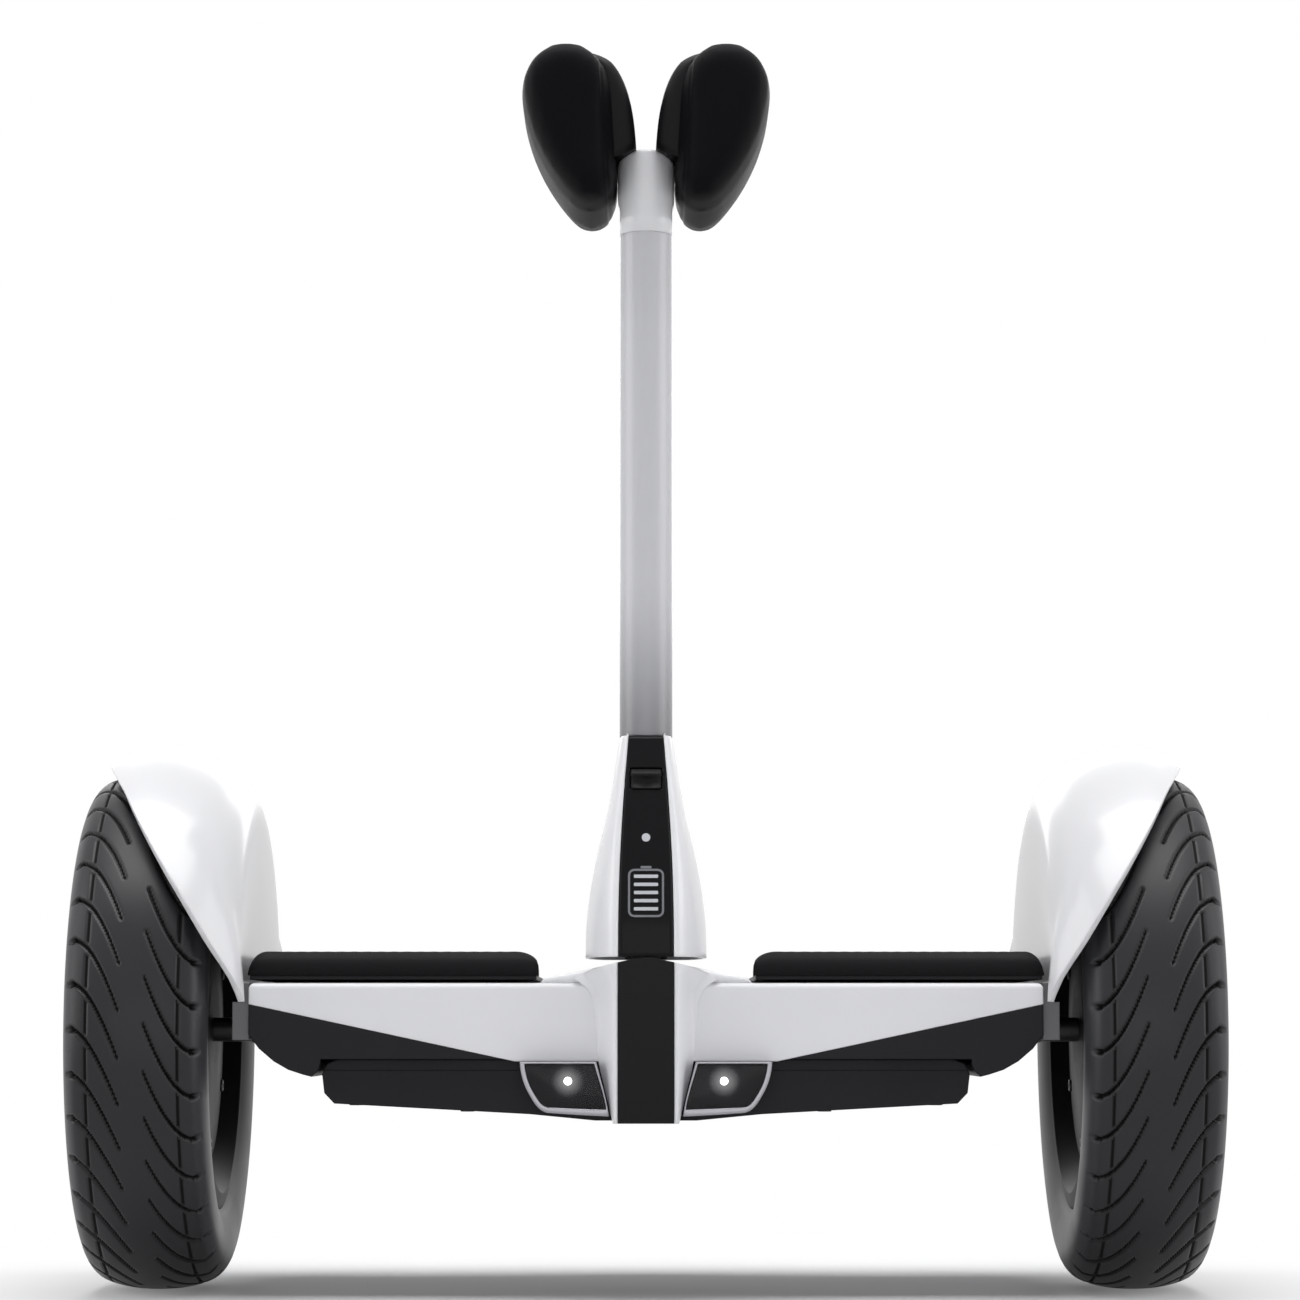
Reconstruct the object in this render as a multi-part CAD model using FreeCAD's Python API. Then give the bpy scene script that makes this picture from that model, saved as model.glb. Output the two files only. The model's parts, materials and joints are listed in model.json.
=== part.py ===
import FreeCAD, Part
import math
import os

# A self balancing transporter: two hub motor wheels, a low foot platform and a sprung knee bar.
# Millimetres, Z up, the lamps face -Y, the rider's left is +X.
# The origin is on the floor, midway between the wheels.
# A table whose name ends in shares holds shares of the sizes named beside it, from the top down.

# Wheels
wheel_radius = 128.0
tyre_width = 68.0
tyre_height = 45.0
tyre_crown_steps = 4
rim_width = 54.0
flange_height = 6.0
flange_lean = 1.5
flange_thickness = 3.0
rim_lip_depth = 8.0
rim_depth = 19.0
drum_wall = 8.0
drum_inner_u = -18.0
rim_face_u = 16.0
rim_face_thickness = 5.0
hub_boss_radius = 24.0
hub_boss_height = 4.0
spoke_pocket_depth = 2.5
spoke_pocket_margin = 6.0
spoke_count = 5
spoke_pocket_angle = 52.0
magnet_count = 20
magnet_thickness = 3.0
magnet_pitch_share = 0.85
magnet_length = 26.0
air_gap = 1.5
motor_cover_thickness = 4.0
motor_cover_lap = 6.0
stator_length = 22.0
stator_teeth = 9
stator_slot_width_share = 0.22
stator_slot_depth_share = 0.4
axle_radius = 6.0
axle_shoulder_radius = 9.0
axle_reach_in = 36.0
bearing_outer_radius = 16.0
bearing_width = 7.0
running_gap = 0.05
valve_radius = 3.0
valve_length = 17.0

axle_z = wheel_radius
bead_radius = wheel_radius - tyre_height
drum_bore_radius = bead_radius - rim_depth
stator_radius = drum_bore_radius - magnet_thickness - air_gap

# Tyre section above the rim: shares of the half width, and of the height above the bead
tyre_side_shares = [(1.0, 0.5), (0.84, 0.895)]

# Foot platform frame, one casting
frame_half_length = 188.0
frame_half_depth = 98.0
frame_top_rise = 22.0
frame_end_height = 10.0
frame_middle_height = 37.0
frame_middle_half = 62.0
frame_wall = 4.0
frame_edge_round = 3.0
axle_boss_setback = 7.5
axle_boss_half_depth = 16.0
axle_boss_drop = 6.4
peg_hole_gap = 0.3

frame_top_z = axle_z + frame_top_rise
frame_end_bottom_z = frame_top_z - frame_end_height
frame_middle_bottom_z = frame_top_z - frame_middle_height
axle_inner_x = frame_half_length - axle_reach_in
axle_boss_outer_x = frame_half_length - axle_boss_setback
axle_boss_bottom_z = axle_z - axle_boss_drop

# Fenders: radii are measured from the axle, and reaches from the fender's inner wall
fender_spacer = 4.0
fender_thickness = 3.0
fender_wall_inset = 24.0
fender_wall_rise = 13.0
fender_crown_gap = 13.0
fender_tip_reach = 75.0
fender_corner_steps = 2
fender_crown_steps = 3
fender_edge_start = 1.0
fender_edge_bend = (58.0, 29.0)
fender_edge_end = (74.0, 7.0)
fender_bracket_setback = 3.0
fender_foot_width = 8.0
fender_foot_depth = 18.0
fender_foot_drop = 18.0
wheel_offset = 48.0

fender_wall_x = frame_half_length + fender_spacer
wheel_centre_x = fender_wall_x + wheel_offset
fender_wall_radius = wheel_radius - fender_wall_inset
fender_crown_radius = wheel_radius + fender_crown_gap
fender_wall_bottom_z = axle_z + fender_wall_rise

# Fender section: shares of the reach to the tip, and of the rise from the wall to the crown
fender_corner_shares = [(0.10, 0.486), (0.32, 0.819)]
fender_crown_shares = [(0.64, 1.0), (1.0, 0.743)]

# Belly pan under the frame's ends
pan_wall = 3.0
pan_plate_drop = 1.0
pan_width = 34.0
pan_depth = 34.3

pan_plate_z = frame_middle_bottom_z + pan_plate_drop

# Shares of the pan's width inwards from the frame's end, and of its depth downwards
pan_shares = [(0.0, 0.42), (0.147, 0.612), (0.353, 0.787), (0.559, 0.904), (0.765, 0.971),
              (0.882, 1.0), (0.956, 0.933), (1.0, 0.816)]

# Battery pack
battery_end_setback = 34.5
battery_edge_setback = 6.0
battery_top_gap = 0.2
battery_height = 28.8
battery_lid_height = 5.0
battery_end_wall = 20.5
battery_side_wall = 7.0
battery_floor = 9.0
cell_gap = 3.0

battery_half_length = frame_half_length - battery_end_setback
battery_half_depth = frame_half_depth - battery_edge_setback
battery_top_z = pan_plate_z - battery_top_gap
battery_lid_z = battery_top_z - battery_lid_height

# Shares of the battery's half length, and of its height downwards
battery_shares = [(0.951, 0.0), (0.984, 0.069), (1.0, 0.236), (0.993, 0.549), (0.962, 0.722),
                  (0.358, 0.896), (0.156, 1.0)]

# Columns at the front and the rear
column_proud = 14.0
column_top_drop = 8.0
column_wide_drop = 36.0
column_height = 66.0
column_top_half = 19.5
column_wide_half = 22.6
column_foot_half = 17.5
column_foot_chamfer = 4.5
strip_half = 13.2
strip_depth = 2.5
strip_proud = 0.5
rear_column_proud = 12.0
rear_column_half = 30.0
rear_strip_half = 20.0

column_front_y = -frame_half_depth - column_proud
column_top_z = frame_top_z - column_top_drop
column_wide_z = frame_top_z - column_wide_drop
column_bottom_z = frame_top_z - column_height
rear_column_y = frame_half_depth + rear_column_proud

# Lamps
lamp_proud = 9.0
lamp_depth = 13.0
lamp_gap = 0.6
lamp_width = 34.0
lamp_height = 23.8
lamp_rim = 2.0
lamp_lens_depth = 3.0
led_radius = 3.0
led_depth = 3.0

lamp_inner_x = column_wide_half + lamp_gap
lamp_front_y = -frame_half_depth - lamp_proud
lamp_back_y = lamp_front_y + lamp_depth

# Shares of the lamp's width outwards, and of its height downwards
lamp_shares = [(0.024, 0.0), (1.0, 0.0), (0.932, 0.366), (0.791, 0.761), (0.626, 1.0), (0.0, 1.0)]
led_shares = (0.4, 0.387)

# Power button and charging socket
button_drop = 12.0
button_radius = 6.0
button_travel = 1.2
button_proud = 1.5
button_gap = 0.3
port_drop = 38.0
port_radius = 6.0
port_wall = 2.0
port_depth = 9.0
cap_radius = 10.0
cap_thickness = 2.0
cap_hinge_rise = 12.0
cap_hinge_radius = 1.5
cap_hinge_half = 5.0

button_z = frame_top_z - button_drop
port_z = frame_top_z - port_drop
cap_hinge_z = port_z + cap_hinge_rise

# Steering pivot
pivot_drop = 22.0
tilt_limit = 12.0
bar_setback = 28.0
shaft_radius = 7.0
shaft_end_gap = 0.5
bush_wall = 3.0
bush_width = 6.0
bush_end_gap = 0.3
sleeve_length = 7.0
hub_radius = 10.5
hub_end_gap = 6.0
web_half = 7.0
web_front_setback = 22.0
web_back_setback = 7.0
slot_gap = 1.0

pivot_z = frame_top_z - pivot_drop
bar_y = bar_setback - frame_half_depth

# Knee bar
tube_half_width = 12.65
tube_half_depth = 22.0
tube_wall = 2.0
tube_length = 244.0
spigot_half_width = 8.0
spigot_half_depth = 15.0
spigot_length = 63.0
spigot_grip = 40.0
socket_gap = 0.08
yoke_half_width = 13.9
yoke_half_depth = 23.5
yoke_height = 40.0
yoke_crown = 4.5
yoke_grip = 24.0

# Neck
neck_rise = 12.0
neck_height = 106.0
neck_foot_half = 29.0
neck_foot_back = 44.0
neck_wall = 2.2
neck_chamfer = 6.0
neck_strip_top_half = 7.5
neck_strip_depth = 2.6
neck_frame_half = 10.2
release_drop = 21.0
release_half_width = 7.6
release_half_height = 5.0
release_travel = 3.0
release_proud = 2.2
release_depth = 6.0

neck_bottom_z = frame_top_z + neck_rise
neck_top_z = neck_bottom_z + neck_height
neck_foot_back_y = bar_y + neck_foot_back
web_front_y = column_front_y + web_front_setback
web_back_y = neck_foot_back_y - web_back_setback
rear_bush_y = web_back_y + hub_end_gap
shaft_front_y = shaft_end_gap - frame_half_depth
shaft_back_y = rear_bush_y + bush_width + sleeve_length
release_z = neck_top_z - release_drop
spigot_bottom_z = neck_top_z - spigot_length
tube_top_z = neck_top_z + tube_length
yoke_top_z = tube_top_z + yoke_height

# Shares of the neck's height, then of the flare of its sides, front, back and strip towards the foot
neck_shares = [(0.0, 1.0, 1.0, 1.0, 1.0), (0.17, 0.963, 0.975, 0.955, 0.947),
               (0.406, 0.743, 0.775, 0.682, 0.719), (0.689, 0.327, 0.45, 0.318, 0.368),
               (1.0, 0.0, 0.0, 0.0, 0.0)]

# Knee pads
pad_inner_x = 4.6
pad_outer_x = 60.4
pad_foot_rise = 9.5
pad_height = 80.5
pad_length = 100.0
pad_seat_gap = 0.3
pad_crown_radius = 22.0
pad_foot_radius = 12.5
pad_side_radius = 90.0
pad_draw_in = 10.0
bracket_length = 60.0
bracket_back = (3.3, 22.7)
bracket_bend = (7.4, 36.4)
bracket_top = (11.6, 42.4)
bracket_tip = (17.6, 45.8)

pad_bottom_z = tube_top_z + pad_foot_rise
pad_top_z = pad_bottom_z + pad_height
pad_crown_centre = (pad_outer_x - pad_crown_radius, pad_top_z - pad_crown_radius)

# Shares of the pad's half length along the bar, and of the draw in there
pad_draw_shares = [(-1.0, 1.0), (-0.93, 0.5), (-0.76, 0.17), (-0.4, 0.0), (0.4, 0.0), (0.76, 0.17),
                   (0.93, 0.5), (1.0, 1.0)]

# Foot mats
mat_inner_x = 51.0
mat_end_lap = 1.0
mat_edge_setback = 4.0
mat_rise = 15.0
mat_plate_thickness = 2.0
mat_plate_inset = 1.0
mat_travel = 1.5
mat_rest_gap = 0.1
mat_corner = 8.0
mat_end_chamfer = 4.0
mat_rib_count = 18
mat_groove_width = 2.0
mat_groove_depth = 1.2
peg_radius = 3.0
peg_reach = 8.0
peg_inset_x = 24.0
peg_inset_y = 34.0
switch_shelf_width = 14.0
switch_shelf_thickness = 2.0
switch_gap = 0.3
switch_margin = 10.0

mat_outer_x = frame_half_length + mat_end_lap
mat_half_depth = frame_half_depth - mat_edge_setback
mat_top_z = frame_top_z + mat_rise

# Cover over the frame at the foot of the neck
dome_mat_gap = 1.0
dome_edge_height = 2.0
dome_back_reach = 40.0
dome_gap = 0.4

dome_half = mat_inner_x - dome_mat_gap
dome_back_y = neck_foot_back_y + dome_back_reach

# Electronics
board_half = 55.0
board_front_gap = 6.0
board_back_gap = 10.0
board_thickness = 1.6
board_standoff = 4.0
chip_size = 14.0
chip_height = 4.0
capacitor_radius = 6.0
capacitor_height = 12.0

board_front_y = shaft_back_y + board_front_gap
board_back_y = frame_half_depth - frame_wall - board_back_gap

overrun = 5.0


def placed(shares, x0, width, z0, height):
    """Points from shares: outwards from x0 and down from z0."""
    return [(x0 + width * a, z0 - height * b) for a, b in shares]


pan_outline = placed(pan_shares, frame_half_length, -pan_width, frame_end_bottom_z, pan_depth)
battery_outline = placed(battery_shares, 0, battery_half_length, battery_top_z, battery_height)
lamp_outline = placed(lamp_shares, lamp_inner_x, lamp_width, frame_middle_bottom_z, lamp_height)
led_x, led_z = placed([led_shares], lamp_inner_x, lamp_width, frame_middle_bottom_z, lamp_height)[0]


def neck_row(up, side, front, back, strip):
    """One level of the neck: height, half width, front, back and half width of the strip."""
    front_top = bar_y - tube_half_depth
    back_top = bar_y + tube_half_depth
    return (neck_bottom_z + neck_height * up,
            tube_half_width + (neck_foot_half - tube_half_width) * side,
            front_top + (column_front_y - front_top) * front,
            back_top + (neck_foot_back_y - back_top) * back,
            neck_strip_top_half + (strip_half - neck_strip_top_half) * strip)


neck_rows = [neck_row(*row) for row in neck_shares]
neck_heights, neck_halves, neck_fronts, neck_backs, neck_strip_halves = zip(*neck_rows)


def vec(x, y, z):
    return FreeCAD.Vector(x, y, z)


def block(x0, x1, y0, y1, z0, z1):
    return Part.makeBox(x1 - x0, y1 - y0, z1 - z0, vec(x0, y0, z0))


def outline(points, place):
    """A closed wire: a point ends a straight edge, a pair holds an arc's middle and its end."""
    edges = []
    last = points[0]
    for point in points[1:] + points[:1]:
        if isinstance(point[0], tuple):
            middle, end = point
            edges.append(Part.Arc(place(*last), place(*middle), place(*end)).toShape())
            last = end
        elif point != last:
            edges.append(Part.LineSegment(place(*last), place(*point)).toShape())
            last = point
    return Part.Wire(edges)


def along_arc(start, middle, end, steps):
    """Points on the arc through three points, after its start and up to its end."""
    arc = Part.Arc(vec(*start, 0), vec(*middle, 0), vec(*end, 0))
    first = arc.FirstParameter
    turn = (arc.LastParameter - first) / steps
    spots = [arc.value(first + turn * (i + 1)) for i in range(steps)]
    return [(p.x, p.y) for p in spots]


def front_prism(points, y0, y1):
    face = Part.Face(outline(points, lambda a, b: vec(a, y0, b)))
    return face.extrude(vec(0, y1 - y0, 0))


def side_prism(points, x0, x1):
    face = Part.Face(outline(points, lambda a, b: vec(x0, a, b)))
    return face.extrude(vec(x1 - x0, 0, 0))


def both_halves(points):
    """A closed front outline from its +X half, listed from the top down."""
    return points + [(-x, z) for x, z in reversed(points)]


def turned(points, x):
    """A solid of revolution about the wheel's axis, from (along, radius) points."""
    face = Part.Face(outline(points, lambda a, b: vec(x + a, 0, wheel_radius + b)))
    return face.revolve(vec(x, 0, wheel_radius), vec(1, 0, 0), 360)


def rod_x(radius, x0, x1, y, z):
    return Part.makeCylinder(radius, x1 - x0, vec(x0, y, z), vec(1, 0, 0))


def rod_y(radius, y0, y1, x, z):
    return Part.makeCylinder(radius, y1 - y0, vec(x, y0, z), vec(0, 1, 0))


def rod_z(radius, z0, z1, x, y):
    return Part.makeCylinder(radius, z1 - z0, vec(x, y, z0), vec(0, 0, 1))


def mirrored(shape):
    return shape.mirror(vec(0, 0, 0), vec(1, 0, 0))


def joined(shapes):
    result = shapes[0]
    for shape in shapes[1:]:
        result = result.fuse(shape)
    return result.removeSplitter()


def group(shapes):
    return Part.makeCompound(shapes)


def save(name, shape):
    os.makedirs("parts", exist_ok=True)
    shape.exportStep("parts/" + name + ".step")


def save_pair(name, shape):
    save(name + "_left", shape)
    save(name + "_right", mirrored(shape))


# Wheels


def tyre():
    half = tyre_width / 2
    height = wheel_radius - bead_radius
    side = [(half * a, bead_radius + height * b) for a, b in tyre_side_shares]
    flank = [(rim_width / 2, bead_radius), (rim_width / 2 + flange_lean, bead_radius + flange_height)] + side
    far_flank = [(-a, b) for a, b in reversed(flank[:-1])]
    shoulder_u, shoulder_r = side[-1]
    crown = along_arc(side[-1], (0.0, wheel_radius), (-shoulder_u, shoulder_r), tyre_crown_steps)
    return turned(flank + crown + far_flank, wheel_centre_x)


def rim():
    """Cast wheel: flat outer face, dish, flanged seat, and the drum that carries the magnets."""
    seat = rim_width / 2
    lip_u = seat + flange_thickness
    tip_u = seat + flange_lean
    tip_r = bead_radius + flange_height
    root_r = tip_r - rim_lip_depth
    dish_r = drum_bore_radius + drum_wall
    face_back_u = rim_face_u - rim_face_thickness
    bore = bearing_outer_radius + running_gap
    pocket_wall = bearing_outer_radius + drum_wall
    pocket_u = face_back_u - bearing_width + hub_boss_height
    boss_u = rim_face_u + hub_boss_height
    outside = [(boss_u, 0), (boss_u, hub_boss_radius - hub_boss_height), (rim_face_u, hub_boss_radius),
               (rim_face_u, dish_r), (lip_u, root_r), (tip_u, tip_r), (seat, bead_radius)]
    inside = [(-seat, bead_radius), (-tip_u, tip_r), (-lip_u, root_r), (drum_inner_u, dish_r),
              (drum_inner_u, drum_bore_radius), (face_back_u, drum_bore_radius), (face_back_u, pocket_wall),
              (pocket_u, pocket_wall), (pocket_u, bore), (pocket_u + bearing_width, bore),
              (pocket_u + bearing_width, 0)]
    solid = turned(outside + inside, wheel_centre_x)
    for i in range(spoke_count):
        solid = solid.cut(spoke_pocket(360.0 * i / spoke_count))
    return solid.cut(valve())


def spoke_pocket(angle):
    """A shallow sector pocket in the wheel's outer face."""
    half = math.radians(spoke_pocket_angle / 2)
    x = wheel_centre_x + rim_face_u - spoke_pocket_depth

    def at(radius, turn):
        return radius * math.sin(turn), wheel_radius + radius * math.cos(turn)

    near = hub_boss_radius + spoke_pocket_margin
    far = drum_bore_radius + drum_wall - spoke_pocket_margin
    points = [at(near, -half), at(far, -half), (at(far, 0), at(far, half)),
              at(near, half), (at(near, 0), at(near, -half))]
    pocket = side_prism(points, x, x + spoke_pocket_depth + hub_boss_height)
    pocket.rotate(vec(x, 0, wheel_radius), vec(1, 0, 0), angle)
    return pocket


def valve():
    """The stem points from the bead seat towards the hub, through the slope of the dish."""
    top = wheel_radius + bead_radius - flange_thickness
    hole_u = (rim_face_u + rim_width / 2) / 2
    return rod_z(valve_radius, top - valve_length, top, wheel_centre_x + hole_u, 0)


def motor_cover():
    """The inner side cover, screwed on the drum; the inner bearing sits in it."""
    back = drum_inner_u - bearing_width
    bore = bearing_outer_radius + running_gap
    edge = drum_bore_radius + motor_cover_lap
    points = [(drum_inner_u, bore), (drum_inner_u, edge),
              (drum_inner_u - motor_cover_thickness, edge - motor_cover_thickness),
              (back, bearing_outer_radius + drum_wall), (back, bore)]
    return turned(points, wheel_centre_x)


def magnets():
    """Flat magnets set round the inside of the drum."""
    half_width = math.pi * drum_bore_radius / magnet_count * magnet_pitch_share
    inner = drum_bore_radius - magnet_thickness
    outer = math.sqrt(drum_bore_radius ** 2 - half_width ** 2)
    middle = (drum_inner_u + rim_face_u - rim_face_thickness) / 2 + wheel_centre_x
    solids = []
    for i in range(magnet_count):
        one = block(middle - magnet_length / 2, middle + magnet_length / 2,
                    -half_width, half_width, wheel_radius + inner, wheel_radius + outer)
        one.rotate(vec(0, 0, wheel_radius), vec(1, 0, 0), 360.0 * i / magnet_count)
        solids.append(one)
    return group(solids)


def stator():
    """Laminated stator with straight slots, fixed on the axle."""
    middle = (drum_inner_u + rim_face_u - rim_face_thickness) / 2 + wheel_centre_x
    start = middle - stator_length / 2
    solid = rod_x(stator_radius, start, start + stator_length, 0, wheel_radius)
    before, after = start - overrun, start + stator_length + overrun
    solid = solid.cut(rod_x(axle_shoulder_radius, before, after, 0, wheel_radius))
    half_slot = math.pi * stator_radius / stator_teeth * stator_slot_width_share
    slot_floor = stator_radius * (1 - stator_slot_depth_share)
    for i in range(stator_teeth):
        slot = block(before, after, -half_slot, half_slot,
                     wheel_radius + slot_floor, wheel_radius + stator_radius + overrun)
        slot.rotate(vec(0, 0, wheel_radius), vec(1, 0, 0), 360.0 * i / stator_teeth)
        solid = solid.cut(slot)
    return solid


def bearing_places():
    """Where the two wheel bearings start, along X, on the +X side."""
    outer = wheel_centre_x + rim_face_u - rim_face_thickness - bearing_width + hub_boss_height
    inner = wheel_centre_x + drum_inner_u - bearing_width
    return inner, outer


def axle():
    inner, outer = bearing_places()
    slim = rod_x(axle_radius, axle_inner_x, outer + bearing_width, 0, wheel_radius)
    thick = rod_x(axle_shoulder_radius, inner + bearing_width, outer, 0, wheel_radius)
    return slim.fuse(thick).removeSplitter()


def bearings():
    solids = []
    for start in bearing_places():
        end = start + bearing_width
        ring = rod_x(bearing_outer_radius, start, end, 0, wheel_radius)
        solids.append(ring.cut(rod_x(axle_radius, start - overrun, end + overrun, 0, wheel_radius)))
    return solids


def axle_clamp():
    """The block between the platform's end and the wheel that grips the axle."""
    start = frame_half_length
    end = fender_wall_x + fender_thickness
    half = axle_boss_half_depth
    body = block(start, end, -half, half, axle_boss_bottom_z, fender_wall_bottom_z - pan_wall)
    return body.cut(rod_x(axle_radius, start - overrun, end + overrun, 0, wheel_radius))


# Fenders


def fender_section(offset):
    """The skin from the foot of the fender's wall to its tip, as points, moved inwards by an offset."""
    rise = fender_crown_radius - fender_wall_radius
    diagonal = offset * math.sqrt(0.5)

    def at(share, inwards, downwards):
        along, up = share
        return fender_wall_x + fender_tip_reach * along + inwards, fender_wall_radius + rise * up - downwards

    corner_mid, corner_end = fender_corner_shares
    crown_mid, tip = fender_crown_shares
    points = [at((0, 0), offset, diagonal)]
    points += along_arc(points[-1], at(corner_mid, diagonal, diagonal), at(corner_end, diagonal, offset),
                        fender_corner_steps)
    points += along_arc(points[-1], at(crown_mid, 0, offset), at(tip, -diagonal, offset), fender_crown_steps)
    return points


def fender():
    """A thin shell that wraps the wheel's inner side and top, cut off by a slanted plane."""
    wall_in = fender_wall_x + fender_thickness
    skin = [(fender_wall_x, 0)] + fender_section(0)
    inside = fender_section(fender_thickness)
    ring = turned(skin + inside[::-1] + [(wall_in, 0)], 0)
    high = wheel_radius + fender_crown_radius + overrun
    crown_z = wheel_radius + fender_crown_radius
    edge = [(fender_wall_x + out, crown_z - down) for out, down in (fender_edge_bend, fender_edge_end)]
    beyond = fender_wall_x + fender_tip_reach + overrun
    near = fender_wall_x - overrun
    keep = [(near, fender_wall_bottom_z), (fender_wall_x - fender_edge_start, fender_wall_bottom_z)]
    keep += edge + [(beyond, high), (near, high)]
    reach = fender_crown_radius + overrun
    return ring.common(front_prism(keep, -reach, reach))


def fender_bracket():
    """A spacer bar between the fender's inner wall and the frame, with a foot at each end of it."""
    half = frame_half_depth - fender_bracket_setback
    bar = block(frame_half_length, fender_wall_x, -half, half, fender_wall_bottom_z, frame_top_z)
    foot = block(frame_half_length, frame_half_length + fender_foot_width, half - fender_foot_depth, half,
                 fender_wall_bottom_z - fender_foot_drop, fender_wall_bottom_z)
    return joined([bar, foot, foot.mirror(vec(0, 0, 0), vec(0, 1, 0))])


# Platform


def frame_section():
    """The platform's front outline: level on top, its underside rising towards both ends."""
    return both_halves([(frame_half_length, frame_top_z), (frame_half_length, frame_end_bottom_z),
                        (frame_middle_half, frame_middle_bottom_z)])


def main_frame():
    solid = front_prism(frame_section(), -frame_half_depth, frame_half_depth)
    rounded = [e for e in solid.Edges
               if e.CenterOfMass.z > frame_top_z - frame_edge_round and e.Length > frame_half_length]
    solid = solid.makeFillet(frame_edge_round, rounded)
    inner_depth = frame_half_depth - frame_wall
    low = frame_middle_bottom_z - overrun
    end = frame_half_length - frame_wall
    cavity = block(-end, end, -inner_depth, inner_depth, low, frame_top_z - frame_wall)
    boss = block(axle_inner_x - frame_wall, axle_boss_outer_x, -axle_boss_half_depth, axle_boss_half_depth,
                 axle_boss_bottom_z, frame_top_z - frame_wall)
    bush_back = rear_bush_y + bush_width
    bush_out = shaft_radius + bush_wall
    pillar = block(-bush_out - frame_wall, bush_out + frame_wall, rear_bush_y, bush_back,
                   pan_plate_z + pan_wall, frame_top_z - frame_wall)
    solid = joined([solid.cut(cavity), boss, mirrored(boss), pillar])
    axle_cut = rod_x(axle_radius, axle_inner_x, frame_half_length + overrun, 0, wheel_radius)
    solid = solid.cut(axle_cut).cut(mirrored(axle_cut))
    solid = solid.cut(rod_y(bush_out, -frame_half_depth - overrun, bush_back + overrun, 0, pivot_z))
    solid = solid.cut(web_slot(frame_top_z))
    low = frame_top_z - frame_wall - overrun
    for x, y in peg_places():
        hole = rod_z(peg_radius + peg_hole_gap, low, frame_top_z + overrun, x, y)
        solid = solid.cut(hole).cut(mirrored(hole))
    return solid


def web_slot(top):
    """The opening in which the neck's web swings, wide enough at its top edge."""
    turn = math.radians(tilt_limit)
    half = (top - pivot_z) * math.sin(turn) + web_half / math.cos(turn) + slot_gap
    return block(-half, half, web_front_y - slot_gap, web_back_y + slot_gap, pivot_z, top + overrun)


def belly_pan():
    """The dark shell under the platform's ends, with the plate that closes the middle."""
    slope = (frame_end_bottom_z - frame_middle_bottom_z) / (frame_half_length - frame_middle_half)
    meet_x = frame_middle_half + (pan_plate_z - frame_middle_bottom_z) / slope
    last_x = pan_outline[-1][0]
    w = pan_wall
    half = [(frame_half_length, frame_end_bottom_z)] + pan_outline
    half += [(last_x, pan_plate_z), (meet_x, pan_plate_z)]
    shell = front_prism(half, -frame_half_depth, frame_half_depth)
    floor = [(x - w / 2, z + w) for x, z in pan_outline[1:6]]
    hollow = [(frame_half_length - w, frame_top_z), (frame_half_length - w, floor[0][1])] + floor
    hollow += [(last_x - w, pan_plate_z + w), (meet_x, pan_plate_z + w), (meet_x, frame_top_z)]
    depth = frame_half_depth - w
    shell = shell.cut(front_prism(hollow, -depth, depth))
    shell = shell.cut(rod_x(axle_radius, axle_inner_x, frame_half_length + overrun, 0, wheel_radius))
    inner = frame_half_depth - frame_wall
    plate = block(-last_x + w, last_x - w, -inner, inner, pan_plate_z, pan_plate_z + w)
    pieces = [plate, shell, mirrored(shell)]
    low = pan_plate_z + w
    for x in (board_standoff - board_half, board_half - 2 * board_standoff):
        for y in (board_front_y + board_standoff, board_back_y - 2 * board_standoff):
            pieces.append(block(x, x + board_standoff, y, y + board_standoff, low, low + board_standoff))
    return joined(pieces)


def battery_block():
    return front_prism(both_halves(battery_outline), -battery_half_depth, battery_half_depth)


def above_lid_line():
    span = battery_outline[2][0] + overrun
    deep = battery_half_depth + overrun
    return block(-span, span, -deep, deep, battery_lid_z, pan_plate_z)


def battery_case():
    half = battery_half_length - battery_end_wall
    deep = battery_half_depth - battery_side_wall
    room = block(-half, half, -deep, deep, battery_top_z - battery_height + battery_floor, battery_lid_z)
    return battery_block().cut(above_lid_line()).cut(room)


def battery_lid():
    return battery_block().common(above_lid_line())


def battery_cells():
    """Two wrapped banks of cells, side by side in the case."""
    deep = battery_half_depth - battery_side_wall - cell_gap
    bank = block(cell_gap / 2, battery_half_length - battery_end_wall - cell_gap, -deep, deep,
                 battery_top_z - battery_height + battery_floor, battery_lid_z)
    return group([bank, mirrored(bank)])


def control_board():
    low = pan_plate_z + pan_wall + board_standoff
    top = low + board_thickness
    pieces = [block(-board_half, board_half, board_front_y, board_back_y, low, top)]
    row_y = board_back_y - 2 * chip_size
    x = chip_size - board_half
    while x + chip_size < board_half:
        pieces.append(block(x, x + chip_size, row_y, row_y + chip_size, top, top + chip_height))
        x += 2 * chip_size
    for x in (-board_half / 2, board_half / 2):
        pieces.append(rod_z(capacitor_radius, top, top + capacitor_height, x, board_front_y + 2 * chip_size))
    return joined(pieces)


def foot_switches():
    """Sensor shelves hung under the frame's top plate, one below each row of mat pegs."""
    roof = frame_top_z - frame_wall
    shelf_top = mat_plate_bottom() - peg_reach - mat_travel - switch_gap
    x0 = mat_inner_x + peg_inset_x - switch_margin
    x1 = mat_outer_x - 2 * peg_inset_x + switch_margin
    inner = mat_half_depth - peg_inset_y - switch_shelf_width / 2
    shelf = block(x0, x1, inner, inner + switch_shelf_width, shelf_top - switch_shelf_thickness, shelf_top)
    wall = block(x0, x1, inner, inner + switch_shelf_thickness, shelf_top, roof)
    back = joined([shelf, wall])
    front = back.mirror(vec(0, 0, 0), vec(0, 1, 0))
    return group([back, front, mirrored(back), mirrored(front)])


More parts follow.
